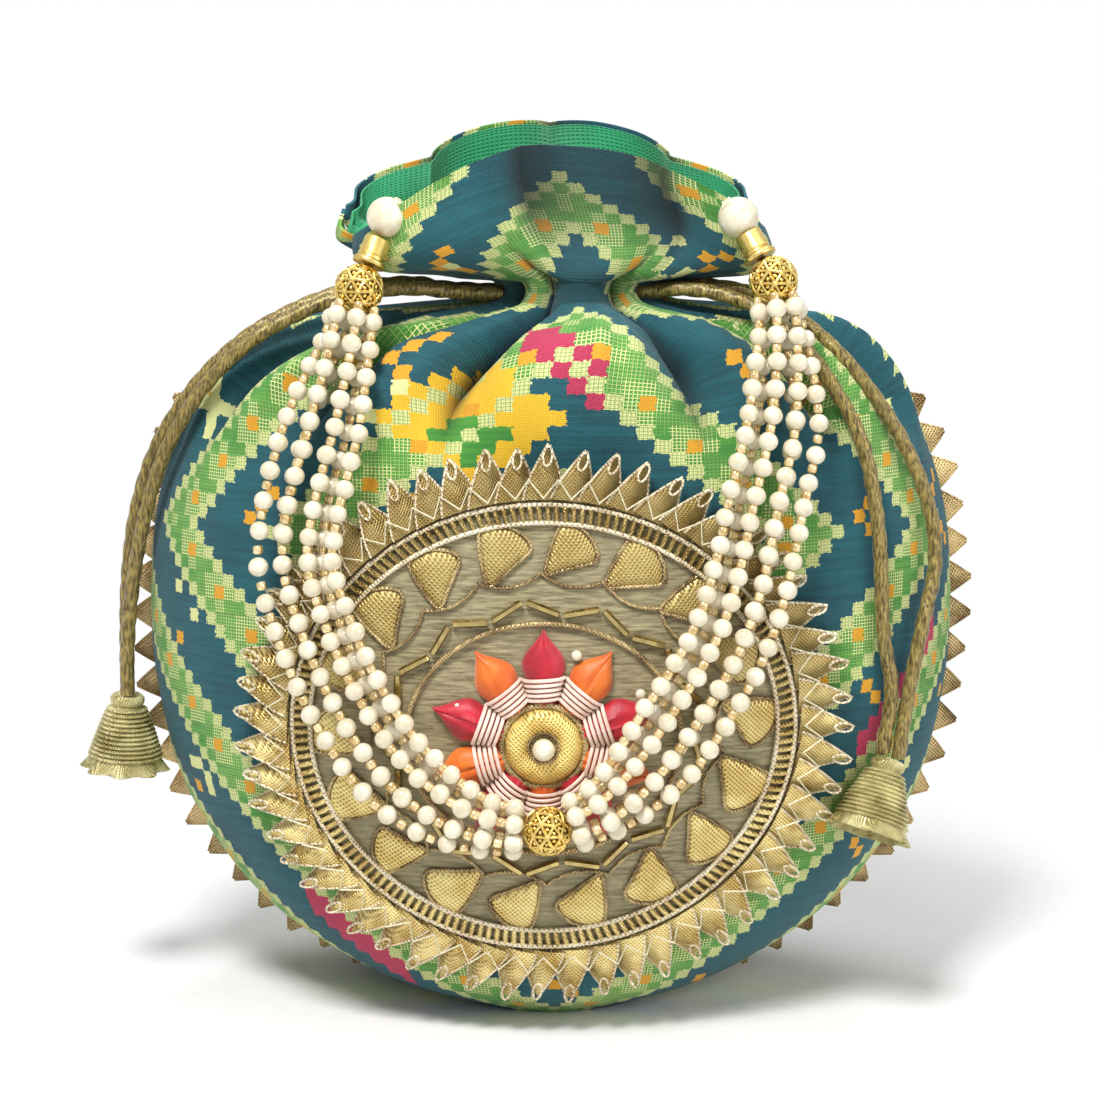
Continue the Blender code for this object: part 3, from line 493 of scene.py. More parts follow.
# Mesh collecting
class Shape:
    """Points, faces and cloth coordinates of one piece, gathered step by step."""

    def __init__(self):
        self.points, self.faces, self.coords = [], [], {}

    def add_point(self, point, coord=None):
        self.points.append(tuple(point))
        if coord is not None:
            self.coords[len(self.points) - 1] = coord
        return len(self.points) - 1

    def add_grid(self, grid, wrap=False, close_rows=False, coords=None):
        """Faces over a grid of points; wrap joins the last column to the first."""
        ids = [[self.add_point(p, coords[r][c] if coords else None) for c, p in enumerate(row)]
               for r, row in enumerate(grid)]
        rows, columns = len(ids), len(ids[0])
        for r in range(rows if close_rows else rows - 1):
            up = (r + 1) % rows
            for c in range(columns if wrap else columns - 1):
                n = (c + 1) % columns
                self.faces.append((ids[r][c], ids[r][n], ids[up][n], ids[up][c]))
        return ids

    def add_tube(self, points, radius, sides, closed=False, hint=(0, -1, 0), shape=None):
        """Round tube along the points; radius is a number or a function of the point's index."""
        hint = Vector(hint)
        count = len(points)
        grid = []
        for i, point in enumerate(points):
            before = points[i - 1] if closed or i > 0 else point
            after = points[(i + 1) % count] if closed or i < count - 1 else point
            side, upward = frame_axes(after - before, hint)
            reach = radius(i) if callable(radius) else radius
            ring = []
            for k in range(sides):
                angle = TAU * k / sides
                scale = reach * (shape(i, angle) if shape else 1.0)
                ring.append(point + side * (math.cos(angle) * scale) + upward * (math.sin(angle) * scale))
            grid.append(ring)
        ids = self.add_grid(grid, wrap=True, close_rows=closed)
        if not closed:
            self.faces.append(tuple(reversed(ids[0])))
            self.faces.append(tuple(ids[-1]))

    def add_turned(self, profile, sides, place, shape=None, closed=False):
        """Turned form from radius and height pairs."""
        grid = []
        for radius, height in profile:
            ring = []
            for k in range(sides):
                angle = TAU * k / sides
                reach = radius * (shape(height, angle) if shape else 1.0)
                ring.append(place @ Vector((reach * math.cos(angle), reach * math.sin(angle), height)))
            grid.append(ring)
        ids = self.add_grid(grid, wrap=True, close_rows=closed)
        if not closed:
            self.faces.append(tuple(reversed(ids[0])))
            self.faces.append(tuple(ids[-1]))

    def add_ball(self, center, radius, segments=16, rings=10, axis=(0, 0, 1), stretch=1.0):
        place = align_z(center, axis, (0.13, 0.98, 0.1))
        profile = []
        for i in range(rings + 1):
            turn = math.pi * (i + 0.04 * (1 if i == 0 else -1 if i == rings else 0)) / rings
            profile.append((radius * math.sin(turn), -radius * stretch * math.cos(turn)))
        self.add_turned(profile, segments, place)

    def add_slab(self, top, low, wrap=False, floor=False):
        """Closed sheet between two grids of points; floor closes the first row of each."""
        front = self.add_grid(top, wrap=wrap)
        back = self.add_grid([list(reversed(line)) for line in low], wrap=wrap)
        back = [list(reversed(line)) for line in back]
        columns = len(front[0])
        spans = [(c, (c + 1) % columns) for c in range(columns if wrap else columns - 1)]
        for c, n in spans:
            self.faces.append((front[-1][c], front[-1][n], back[-1][n], back[-1][c]))
            if not floor:
                self.faces.append((front[0][n], front[0][c], back[0][c], back[0][n]))
        if not wrap:
            for r in range(len(front) - 1):
                self.faces.append((front[r][0], front[r + 1][0], back[r + 1][0], back[r][0]))
                self.faces.append((front[r + 1][-1], front[r][-1], back[r][-1], back[r + 1][-1]))
        if floor:
            self.faces.append(tuple(reversed(front[0])))
            self.faces.append(tuple(back[0]))

    def build(self, name, material, body, smooth=True):
        """Make the object, face it outward and let it ride on its body."""
        data = bpy.data.meshes.new(name)
        data.from_pydata(self.points, [], self.faces)
        if self.coords:
            # The crease layer carries how much painted shade darkens the print at each cloth point.
            for first, layer_name in ((0, "cloth"), (2, "crease")):
                layer = data.uv_layers.new(name=layer_name)
                for loop in data.loops:
                    coord = self.coords.get(loop.vertex_index, (0.0, 0.0, 0.0, 0.0))
                    layer.data[loop.index].uv = coord[first:first + 2]
        data.validate()
        mesh = bmesh.new()
        mesh.from_mesh(data)
        bmesh.ops.recalc_face_normals(mesh, faces=mesh.faces)
        mesh.to_mesh(data)
        mesh.free()
        data.materials.append(material)
        if smooth:
            data.shade_smooth()
            data.set_sharp_from_angle(angle=math.radians(50))
        piece = bpy.data.objects.new(name, data)
        bpy.context.scene.collection.objects.link(piece)
        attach(piece, body)
        return piece


# Materials
class Net:
    """Short names for the nodes of one material."""

    def __init__(self, name, roughness=0.6, metallic=0.0, sheen=0.0, coat=0.0):
        self.material = bpy.data.materials.new(name)
        self.material.use_nodes = True
        self.tree = self.material.node_tree
        self.shader = self.tree.nodes["Principled BSDF"]
        self.shader.inputs["Roughness"].default_value = roughness
        self.shader.inputs["Metallic"].default_value = metallic
        self.shader.inputs["Sheen Weight"].default_value = sheen
        self.shader.inputs["Coat Weight"].default_value = coat

    def feed(self, socket, value):
        if isinstance(value, bpy.types.NodeSocket):
            self.tree.links.new(value, socket)
        elif isinstance(value, (tuple, list)) and len(value) == 3 and socket.type == "RGBA":
            socket.default_value = (*value, 1.0)
        else:
            socket.default_value = value

    def math(self, operation, a, b=0.0, c=None):
        node = self.tree.nodes.new("ShaderNodeMath")
        node.operation = operation
        self.feed(node.inputs[0], a)
        self.feed(node.inputs[1], b)
        if c is not None:
            self.feed(node.inputs[2], c)
        return node.outputs[0]

    def add(self, a, b):
        return self.math("ADD", a, b)

    def minus(self, a, b):
        return self.math("SUBTRACT", a, b)

    def times(self, a, b):
        return self.math("MULTIPLY", a, b)

    def size(self, a):
        return self.math("ABSOLUTE", a)

    def all_of(self, *masks):
        result = masks[0]
        for mask in masks[1:]:
            result = self.times(result, mask)
        return result

    def any_of(self, *masks):
        result = masks[0]
        for mask in masks[1:]:
            result = self.math("MAXIMUM", result, mask)
        return result

    def is_near(self, a, b, width=0.5):
        return self.math("COMPARE", a, b, width)

    def cycle(self, a, b):
        return self.math("FLOORED_MODULO", a, b)

    def blend(self, factor, a, b):
        node = self.tree.nodes.new("ShaderNodeMix")
        node.data_type = "RGBA"
        self.feed(node.inputs[0], factor)
        self.feed(node.inputs[6], a)
        self.feed(node.inputs[7], b)
        return node.outputs[2]

    def coords(self, kind="Object"):
        return self.tree.nodes.new("ShaderNodeTexCoord").outputs[kind]

    def cloth_coords(self, layer="cloth"):
        node = self.tree.nodes.new("ShaderNodeUVMap")
        node.uv_map = layer
        return node.outputs[0]

    def parts(self, vector):
        node = self.tree.nodes.new("ShaderNodeSeparateXYZ")
        self.feed(node.inputs[0], vector)
        return node.outputs[0], node.outputs[1], node.outputs[2]

    def join(self, x, y, z=0.0):
        node = self.tree.nodes.new("ShaderNodeCombineXYZ")
        for socket, value in zip(node.inputs, (x, y, z)):
            self.feed(socket, value)
        return node.outputs[0]

    def scaled(self, vector, scale):
        node = self.tree.nodes.new("ShaderNodeVectorMath")
        node.operation = "MULTIPLY"
        self.feed(node.inputs[0], vector)
        node.inputs[1].default_value = scale
        return node.outputs[0]

    def noise(self, vector, scale, detail=2.0, roughness=0.5):
        node = self.tree.nodes.new("ShaderNodeTexNoise")
        self.feed(node.inputs["Vector"], vector)
        node.inputs["Scale"].default_value = scale
        node.inputs["Detail"].default_value = detail
        node.inputs["Roughness"].default_value = roughness
        return node.outputs["Fac"]

    def random(self, vector):
        node = self.tree.nodes.new("ShaderNodeTexWhiteNoise")
        node.noise_dimensions = "2D"
        self.feed(node.inputs["Vector"], vector)
        return node.outputs["Value"]

    def spread(self, value, low, high):
        """Map 0.35 to 0.65 onto low to high, as suits a noise value."""
        node = self.tree.nodes.new("ShaderNodeMapRange")
        self.feed(node.inputs["Value"], value)
        node.inputs["From Min"].default_value = 0.35
        node.inputs["From Max"].default_value = 0.65
        node.inputs["To Min"].default_value = low
        node.inputs["To Max"].default_value = high
        return node.outputs["Result"]

    def wave(self, value, pitch):
        """Sine of a length, from 0 to 1."""
        turned = self.times(value, TAU / pitch)
        return self.math("MULTIPLY_ADD", self.math("SINE", turned), 0.5, 0.5)

    def color(self, value):
        self.feed(self.shader.inputs["Base Color"], value)

    def rough(self, value):
        self.feed(self.shader.inputs["Roughness"], value)

    def bump(self, height, distance, strength=1.0):
        node = self.tree.nodes.new("ShaderNodeBump")
        node.inputs["Distance"].default_value = distance
        node.inputs["Strength"].default_value = strength
        self.feed(node.inputs["Height"], height)
        self.tree.links.new(node.outputs[0], self.shader.inputs["Normal"])


PRINT_CELL = 0.0032
PRINT_THREAD = 0.00055
PRINT_PERIOD = 13.0
PRINT_HALF_TURN = 38.0
PRINT_MIDDLE = 40.0
TEAL = (0.0030, 0.062, 0.085)
TEAL_LIGHT = (0.0060, 0.115, 0.140)
GREEN = (0.088, 0.370, 0.040)
DEEP_GREEN = (0.040, 0.230, 0.030)
CREAM = (0.740, 0.760, 0.320)
OCHRE = (0.760, 0.360, 0.014)
MAGENTA = (0.500, 0.030, 0.090)
YELLOW = (0.850, 0.520, 0.020)


def printed_cloth():
    """Cotton printed with diamonds of stepped bands, as on traditional double ikat.

    i counts print cells to the right from the front's middle, j counts them up.
    """
    net = Net("printed_cloth", roughness=0.80, sheen=0.10)
    u, v, _ = net.parts(net.cloth_coords())

    def less(a, b):
        return net.math("LESS_THAN", a, b)

    def cells(length, across, shift, seed):
        """Cell number, with edges that run ragged from thread to thread."""
        thread = net.math("FLOOR", net.math("DIVIDE", across, PRINT_THREAD))
        ragged = net.math("MULTIPLY_ADD", net.random(net.join(thread, seed)), shift, length)
        return net.math("FLOOR", net.math("DIVIDE", ragged, PRINT_CELL))

    column = cells(u, v, 0.0006, 1.0)
    i = net.minus(net.cycle(net.add(column, PRINT_HALF_TURN), 2 * PRINT_HALF_TURN),
                 PRINT_HALF_TURN)
    j = net.minus(cells(v, u, 0.0004, 2.0), PRINT_MIDDLE)
    out, rise = net.size(i), net.size(j)
    diamond, along = net.add(out, rise), net.minus(out, rise)
    place = net.cycle(diamond, PRINT_PERIOD)
    band = less(place, 5.5)
    edge = net.any_of(net.is_near(place, 0.0, 0.4), net.is_near(place, 5.0, 0.4))
    dots = net.all_of(net.is_near(place, 2.0, 0.4), less(net.cycle(along, 6.0), 1.5))
    frame_cells = net.all_of(net.is_near(place, 2.0, 1.4),
                             less(net.cycle(net.add(along, 1.0), 6.0), 3.5))

    teal_zone = net.is_near(place, 9.0, 2.2)
    raised_j = net.add(j, 2.0)
    swing = net.size(net.minus(net.cycle(raised_j, 6.0), 3.0))
    zigzag = net.all_of(teal_zone, less(net.cycle(raised_j, 12.0), 5.5),
                        net.is_near(net.cycle(i, 10.0), swing, 0.5))
    cross_i = net.size(net.minus(net.cycle(i, 17.0), 8.0))
    cross_j = net.size(net.minus(net.cycle(j, 14.0), 9.0))
    cross = net.all_of(teal_zone, less(net.add(cross_i, cross_j), 2.5),
                       less(net.math("MINIMUM", cross_i, cross_j), 0.5))

    def diamond_at(a, b, size):
        far = net.add(net.size(net.minus(i, a)),
                       net.size(net.minus(j, b)))
        return less(far, size)

    yellow = diamond_at(-5.0, 9.0, 5.5)
    yellow_heart = diamond_at(-5.0, 8.0, 2.5)
    falling, rising = net.add(i, j), net.minus(i, j)
    pink = net.any_of(
        net.all_of(less(net.size(net.minus(falling, 13.0)), 1.5), net.is_near(i, -0.5, 2.6)),
        net.all_of(net.is_near(rising, 38.0, 1.6), net.is_near(i, 25.0, 4.0)),
        net.all_of(net.is_near(falling, -46.0, 1.5), net.is_near(i, -14.0, 3.5)))

    patchy = net.noise(net.coords(), 70.0, 3.0)
    streak = net.noise(net.scaled(net.join(u, v), (40.0, 900.0, 1.0)), 1.0, 2.0)
    tone = net.math("MULTIPLY_ADD", streak, 0.6, net.times(patchy, 0.4))
    ground = net.blend(net.spread(tone, 0.0, 1.0), TEAL, TEAL_LIGHT)
    ground = net.blend(cross, ground, CREAM)
    ground = net.blend(zigzag, ground, OCHRE)
    green = net.blend(net.spread(tone, 0.0, 1.0), DEEP_GREEN, GREEN)
    ground = net.blend(band, ground, green)
    threads = net.any_of(less(net.cycle(u, PRINT_CELL / 4), PRINT_CELL / 16),
                         less(net.cycle(v, PRINT_CELL / 4), PRINT_CELL / 16))
    pale_thread = net.all_of(band, threads, net.is_near(place, 2.5, 2.2))
    ground = net.blend(net.times(pale_thread, net.spread(patchy, 0.05, 0.50)), ground, CREAM)
    ground = net.blend(net.all_of(frame_cells, threads), ground, CREAM)
    ground = net.blend(yellow, ground, YELLOW)
    ground = net.blend(yellow_heart, ground, green)
    ground = net.blend(pink, ground, MAGENTA)
    ground = net.blend(dots, ground, OCHRE)
    checks = net.times(edge, less(net.cycle(j, 2.0), 1.5))
    ground = net.blend(checks, ground, CREAM)
    ground = net.blend(net.times(net.all_of(edge, threads), 0.55), ground, DEEP_GREEN)
    weave = net.times(net.wave(u, 0.00042), net.wave(v, 0.00042))
    ground = net.blend(net.times(weave, 0.34), ground, (0.0015, 0.016, 0.022))
    # Painted shade: the print is blended toward near-black teal where the crease layer says a point lies
    # deep in a fold or by the neck.
    depth, _, _ = net.parts(net.cloth_coords("crease"))
    net.color(net.blend(net.times(depth, 0.86), ground, (0.0006, 0.005, 0.007)))
    net.bump(net.add(weave, net.times(patchy, 0.8)), 0.00020, 0.7)
    return net.material


def lining_cloth():
    """Plain woven green cloth."""
    net = Net("lining_cloth", roughness=0.86, sheen=0.18)
    u, v, _ = net.parts(net.cloth_coords())
    weave = net.times(net.wave(u, 0.0010), net.wave(v, 0.0010))
    tone = net.noise(net.coords(), 45.0, 3.0)
    base = net.blend(net.spread(tone, 0.0, 1.0), (0.020, 0.300, 0.125), (0.045, 0.430, 0.190))
    net.color(net.blend(net.times(weave, 0.55), base, (0.008, 0.150, 0.065)))
    net.bump(weave, 0.0003, 0.7)
    return net.material


def dupion_silk():
    """Olive silk with slubs that run across."""
    net = Net("dupion_silk", roughness=0.55, sheen=0.15)
    place = net.coords()
    slub = net.noise(net.scaled(place, (0.12, 0.12, 1.0)), 1500.0, 3.0, 0.6)
    warp = net.noise(net.scaled(place, (1.0, 0.1, 0.06)), 2600.0, 1.0)
    cloud = net.noise(place, 35.0, 2.0)
    base = net.blend(net.spread(slub, 0.0, 1.0), (0.150, 0.122, 0.058), (0.400, 0.345, 0.195))
    base = net.blend(net.spread(cloud, 0.0, 0.35), base, (0.300, 0.270, 0.140))
    net.color(base)
    net.bump(net.add(slub, net.times(warp, 0.3)), 0.00035, 0.7)
    return net.material


def woven_gold(name, light, dark, pitch=0.00095, metallic=0.55, rough=0.34, shaded=0.0):
    """Ribbon woven from metallic thread: small checks of light and dark, with painted shade that darkens it
    higher up, by at most shaded.
    """
    net = Net(name, roughness=rough, metallic=metallic)
    x, y, z = net.parts(net.coords())
    weave = net.times(net.wave(net.add(x, z), pitch),
                     net.wave(net.minus(net.add(x, y), z), pitch))
    tone = net.noise(net.coords(), 140.0, 2.0)
    base = net.blend(net.spread(tone, 0.0, 1.0), dark, light)
    holes = tuple(c * 0.16 for c in dark)
    # Painted shade: from 7 cm up, the colour is blended toward a darker copy of the dark tone, by at most
    # shaded.
    if shaded:
        high = net.math("MULTIPLY_ADD", z, 1 / 0.05, -0.070 / 0.05)
        high = net.math("MINIMUM", net.math("MAXIMUM", high, 0.0), shaded)
        base = net.blend(high, base, tuple(c * 0.45 for c in dark))
    holes_here = net.math("MULTIPLY_ADD", net.spread(tone, 1.0, 0.0), 0.35, 0.60)
    net.color(net.blend(net.times(weave, holes_here), base, holes))
    net.rough(net.spread(tone, rough - 0.1, rough + 0.16))
    net.bump(weave, 0.00022, 0.9)
    return net.material


def gold_metal(name, color, rough=0.24):
    """Plated metal with fine scratches and a little tarnish."""
    net = Net(name, roughness=rough, metallic=1.0)
    place = net.coords()
    tarnish = net.noise(place, 420.0, 3.0)
    scratch = net.noise(net.scaled(place, (1.0, 1.0, 0.15)), 3000.0, 1.0)
    net.color(net.blend(net.spread(tarnish, 0.0, 0.55), color, tuple(c * 0.45 for c in color)))
    net.rough(net.spread(tarnish, rough - 0.08, rough + 0.18))
    net.bump(scratch, 0.00004, 0.4)
    return net.material


def pearl_lacquer():
    """Ivory bead with a pearly coat."""
    net = Net("pearl_lacquer", roughness=0.22, coat=0.7)
    cloud = net.noise(net.coords(), 260.0, 2.0)
    net.color(net.blend(net.spread(cloud, 0.0, 1.0), (0.66, 0.58, 0.40), (0.82, 0.76, 0.60)))
    net.rough(net.spread(cloud, 0.16, 0.30))
    net.shader.inputs["Coat Roughness"].default_value = 0.12
    return net.material


def seed_glass():
    """Small glass bead with a gold lining."""
    net = Net("seed_glass", roughness=0.10, metallic=0.55, coat=1.0)
    tone = net.noise(net.coords(), 500.0, 1.0)
    net.color(net.blend(net.spread(tone, 0.0, 1.0), (0.62, 0.40, 0.14), (0.92, 0.76, 0.42)))
    net.rough(net.spread(tone, 0.06, 0.22))
    return net.material


def satin_cord():
    """Olive gold satin, fine threads along the twist."""
    net = Net("satin_cord", roughness=0.38, metallic=0.2, sheen=0.1)
    place = net.coords()
    thread = net.noise(net.scaled(place, (1.0, 1.0, 0.22)), 1900.0, 2.0)
    tone = net.noise(place, 90.0, 2.0)
    base = net.blend(net.spread(thread, 0.0, 1.0), (0.045, 0.030, 0.006), (0.400, 0.300, 0.080))
    net.color(net.blend(net.spread(tone, 0.0, 0.4), base, (0.190, 0.135, 0.035)))
    net.bump(thread, 0.00018, 0.9)
    return net.material


def plain_silk(name, light, dark):
    """Folded silk with fine ribs."""
    net = Net(name, roughness=0.48, sheen=0.3)
    place = net.coords()
    rib = net.noise(net.scaled(place, (1.0, 1.0, 0.3)), 1500.0, 2.0)
    tone = net.noise(place, 150.0, 2.0)
    base = net.blend(net.spread(tone, 0.0, 1.0), dark, light)
    net.color(net.blend(net.spread(rib, 0.0, 0.35), base, dark))
    net.bump(rib, 0.00012, 0.7)
    return net.material


def cotton_thread():
    net = Net("cotton_thread", roughness=0.8)
    twist = net.noise(net.scaled(net.coords(), (1.0, 1.0, 0.3)), 3000.0, 1.0)
    net.color(net.blend(net.spread(twist, 0.0, 1.0), (0.62, 0.56, 0.36), (0.86, 0.82, 0.62)))
    net.bump(twist, 0.0001, 0.6)
    return net.material


# Stage and lights
def make_stage():
    """Pale floor that fades into a white surround, and soft lamps."""
    net = Net("floor_paper", roughness=0.9)
    place = net.coords()
    x, y, _ = net.parts(place)
    far = net.math("SQRT", net.add(net.times(x, x), net.times(y, y)))
    grain = net.noise(place, 300.0, 2.0)
    net.color(net.blend(net.spread(grain, 0.0, 1.0), (0.86, 0.86, 0.86), (0.88, 0.88, 0.88)))
    tree = net.tree
    fade = tree.nodes.new("ShaderNodeMapRange")
    fade.inputs["From Min"].default_value = 0.11
    fade.inputs["From Max"].default_value = 0.27
    tree.links.new(far, fade.inputs["Value"])
    glow = tree.nodes.new("ShaderNodeEmission")
    path = tree.nodes.new("ShaderNodeLightPath")
    blend = tree.nodes.new("ShaderNodeMixShader")
    output = tree.nodes["Material Output"]
    seen = net.math("MAXIMUM", path.outputs["Is Camera Ray"], path.outputs["Is Glossy Ray"])
    factor = net.times(fade.outputs["Result"], seen)
    tree.links.new(factor, blend.inputs[0])
    tree.links.new(net.shader.outputs[0], blend.inputs[1])
    tree.links.new(glow.outputs[0], blend.inputs[2])
    tree.links.new(blend.outputs[0], output.inputs["Surface"])
    data = bpy.data.meshes.new("floor")
    half = 3.0
    data.from_pydata([(-half, -half, 0), (half, -half, 0), (half, half, 0), (-half, half, 0)], [],
                     [(0, 1, 2, 3)])
    data.materials.append(net.material)
    floor = bpy.data.objects.new("floor", data)
    bpy.context.scene.collection.objects.link(floor)

    world = bpy.data.worlds.new("studio")
    bpy.context.scene.world = world
    world.use_nodes = True
    tree = world.node_tree
    seen_back = tree.nodes["Background"]
    seen_back.inputs["Color"].default_value = (1, 1, 1, 1)
    seen_back.inputs["Strength"].default_value = 1.0
    light_back = tree.nodes.new("ShaderNodeBackground")
    light_back.inputs["Color"].default_value = (1, 1, 1, 1)
    light_back.inputs["Strength"].default_value = 0.23
    path = tree.nodes.new("ShaderNodeLightPath")
    bright = tree.nodes.new("ShaderNodeMath")
    bright.operation = "MULTIPLY_ADD"
    tree.links.new(path.outputs["Is Glossy Ray"], bright.inputs[0])
    bright.inputs[1].default_value = 0.75
    tree.links.new(path.outputs["Is Camera Ray"], bright.inputs[2])
    choose = tree.nodes.new("ShaderNodeMixShader")
    tree.links.new(bright.outputs[0], choose.inputs[0])
    tree.links.new(light_back.outputs[0], choose.inputs[1])
    tree.links.new(seen_back.outputs[0], choose.inputs[2])
    tree.links.new(choose.outputs[0], tree.nodes["World Output"].inputs["Surface"])

    for name, place, size, power in (("key_lamp", (-0.22, -0.55, 1.00), 0.30, 12.5),
                                     ("fill_lamp", (0.75, -0.55, 0.45), 0.6, 3.2),
                                     ("top_lamp", (0.05, 0.25, 1.0), 0.6, 4.5)):
        lamp = bpy.data.lights.new(name, "AREA")
        lamp.size = size
        lamp.energy = power
        holder = bpy.data.objects.new(name, lamp)
        holder.location = place
        aim = Vector((0.0, 0.0, 0.1)) - Vector(place)
        holder.rotation_euler = aim.to_track_quat("-Z", "Y").to_euler()
        bpy.context.scene.collection.objects.link(holder)
    bpy.context.scene.view_settings.view_transform = "Standard"


# Drawstrings and bells
def make_cord(name, route, material):
    """Three-ply twisted cord along its route."""
    step, pitch, plies = 0.0009, 0.0170, 3
    points = even_route(route, step)
    turns = TAU / pitch

    def ply(i, angle):
        return 0.84 + 0.18 * abs(math.cos(plies / 2 * angle - i * step * turns * plies / 2))

    shape = Shape()
    shape.add_tube(points, CORD_RADIUS * 1.02, 15, shape=ply, hint=(0.2, 1.0, 0.1))
    cord = shape.build(name + "_twisted", material, BAG)
    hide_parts(name)
    return cord


def make_bell(side, material):
    """Cone of wound gold thread with a flared, petalled rim."""
    top, direction = BELL_AXES[side]
    place = align_z(top, direction)
    profile = [(0.0021, 0.0008), (0.0036, 0.0000), (0.0043, 0.0009), (0.0042, 0.0020), (0.0036, 0.0027)]
    wraps, start, end = 12, 0.0030, 0.0158
    for i in range(wraps * 6 + 1):
        share = i / (wraps * 6)
        radius = mix(0.0040, 0.0087, share ** 0.85)
        rib = 0.00085 * abs(math.sin(math.pi * share * wraps))
        profile.append((radius + rib, mix(start, end, share)))
    for share in (0.2, 0.4, 0.6, 0.8, 1.0):
        profile.append((mix(0.0088, 0.0106, share), mix(end, 0.0188, share ** 0.8)))
    profile += [(0.0104, 0.0190), (0.0098, 0.0184), (0.0086, 0.0160), (0.0060, 0.0135), (0.0020, 0.0125)]

    def wave(height, angle):
        reach = smooth_step(0.0150, 0.0190, height)
        return 1.0 + reach * 0.105 * math.cos(8 * angle) - 0.03 * reach

    shape = Shape()
    shape.add_turned(profile, 64, place, shape=wave)
    bell = shape.build(f"bell_{side}_wound", material, BAG)
    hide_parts(f"bell_{side}")
    return bell


# Cloth
def quarter_lengths():
    """Length of cloth from the front's middle to the seam at each row, as the print sees it."""
    lengths = []
    for _, half_width, half_depth in OUTLINE:
        flat = math.pi / 2 * math.sqrt((half_width ** 2 + half_depth ** 2) / 2)
        lengths.append(max(flat, 0.070))
    return lengths


QUARTERS = quarter_lengths()


def quarter_at(row):
    low = min(int(row), LAST_ROW - 1)
    return mix(QUARTERS[low], QUARTERS[low + 1], row - low)


def row_lengths(rows):
    """Distance up the middle of the front at each row."""
    points = [plain_cloth_point(1.5 * math.pi, row) for row in rows]
    return running_lengths(points)


def cloth_rows(steps):
    return [LAST_ROW * i / steps for i in range(steps + 1)]


def cloth_grid(rows, columns, start, end, inset, wrap=False, drop=0.0):
    """Grid of cloth points between two angles that may change with the row."""
    grid, coords = [], []
    heights = row_lengths(rows)
    for row, height in zip(rows, heights):
        low, high = start(row), end(row)
        line, marks = [], []
        for i in range(columns if wrap else columns + 1):
            angle = mix(low, high, i / columns)
            point = cloth_point(angle, row, inset)
            if row == rows[-1]:
                point.z -= drop
            line.append(point)
            turn = (angle - 1.5 * math.pi) / (math.pi / 2)
            # Cloth coordinates, then how much painted crease shade darkens the print there
            marks.append((turn * quarter_at(row), height, painted_crease_shade(angle, row), 0.0))
        grid.append(line)
        coords.append(marks)
    return grid, coords


def make_cloth_shell(name, start, end, columns, steps, insets, material, node, wrap=False, drop=0.0):
    """Closed layer of cloth with an outer and an inner face."""
    rows = cloth_rows(steps)
    shape = Shape()
    outer, marks = cloth_grid(rows, columns, start, end, insets[0], wrap, drop)
    inner, _ = cloth_grid(rows, columns, start, end, insets[1], wrap, drop)
    front = shape.add_grid(outer, wrap=wrap, coords=marks)
    back = shape.add_grid([list(reversed(line)) for line in inner], wrap=wrap,
                          coords=[list(reversed(line)) for line in marks])
    back = [list(reversed(line)) for line in back]
    count = len(front[0])
    for c in range(count if wrap else count - 1):
        n = (c + 1) % count
        shape.faces.append((front[-1][c], front[-1][n], back[-1][n], back[-1][c]))
    if not wrap:
        for r in range(len(front) - 1):
            shape.faces.append((front[r][0], front[r + 1][0], back[r + 1][0], back[r][0]))
            shape.faces.append((front[r + 1][-1], front[r][-1], back[r][-1], back[r + 1][-1]))
        shape.faces.append((front[0][-1], front[0][0], back[0][0], back[0][-1]))
    shape.faces.append(tuple(reversed(front[0])))
    shape.faces.append(tuple(back[0]))
    piece = shape.build(name, material, BAG)
    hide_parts(node)
    return piece


def make_cloth(printed, lining):
    """Both outer panels and the lining; returns the front panel."""
    clear = 0.0006
    front = make_cloth_shell(
        "front_panel_cloth", lambda row: math.pi - seam_angle(row, SEAM_Y - clear),
        lambda row: TAU + seam_angle(row, SEAM_Y - clear), 200, 165, (0.0, CLOTH_THICKNESS),
        printed, "outer_front")
    back = make_cloth_shell(
        "back_panel_cloth", lambda row: seam_angle(row, SEAM_Y + clear),
        lambda row: math.pi - seam_angle(row, SEAM_Y + clear), 130, 130, (0.0, CLOTH_THICKNESS),
        printed, "outer_back")
    inset = CLOTH_THICKNESS + LINING_GAP
    inner = make_cloth_shell("lining_bag", lambda row: 0.0, lambda row: TAU, 200, 90,
                             (inset, inset + LINING_THICKNESS), lining, "lining", wrap=True, drop=0.0008)
    return front


# Ribbon edge caught in the seam
def trim_stations():
    """Seam points from the left side under the base to the right."""
    top = row_at_height(TRIM_TOP_HEIGHT)
    side = []
    for i in range(61):
        row = top * (1 - i / 60)
        side.append(plain_cloth_point(math.pi - seam_angle(row), row))
    half_base = abs(side[-1].x)
    under = [Vector((mix(-half_base, half_base, i / 8), SEAM_Y, 0.0)) for i in range(1, 8)]
    points = side + under + [Vector((-p.x, p.y, p.z)) for p in reversed(side)]
    return even_route(points, 0.001)


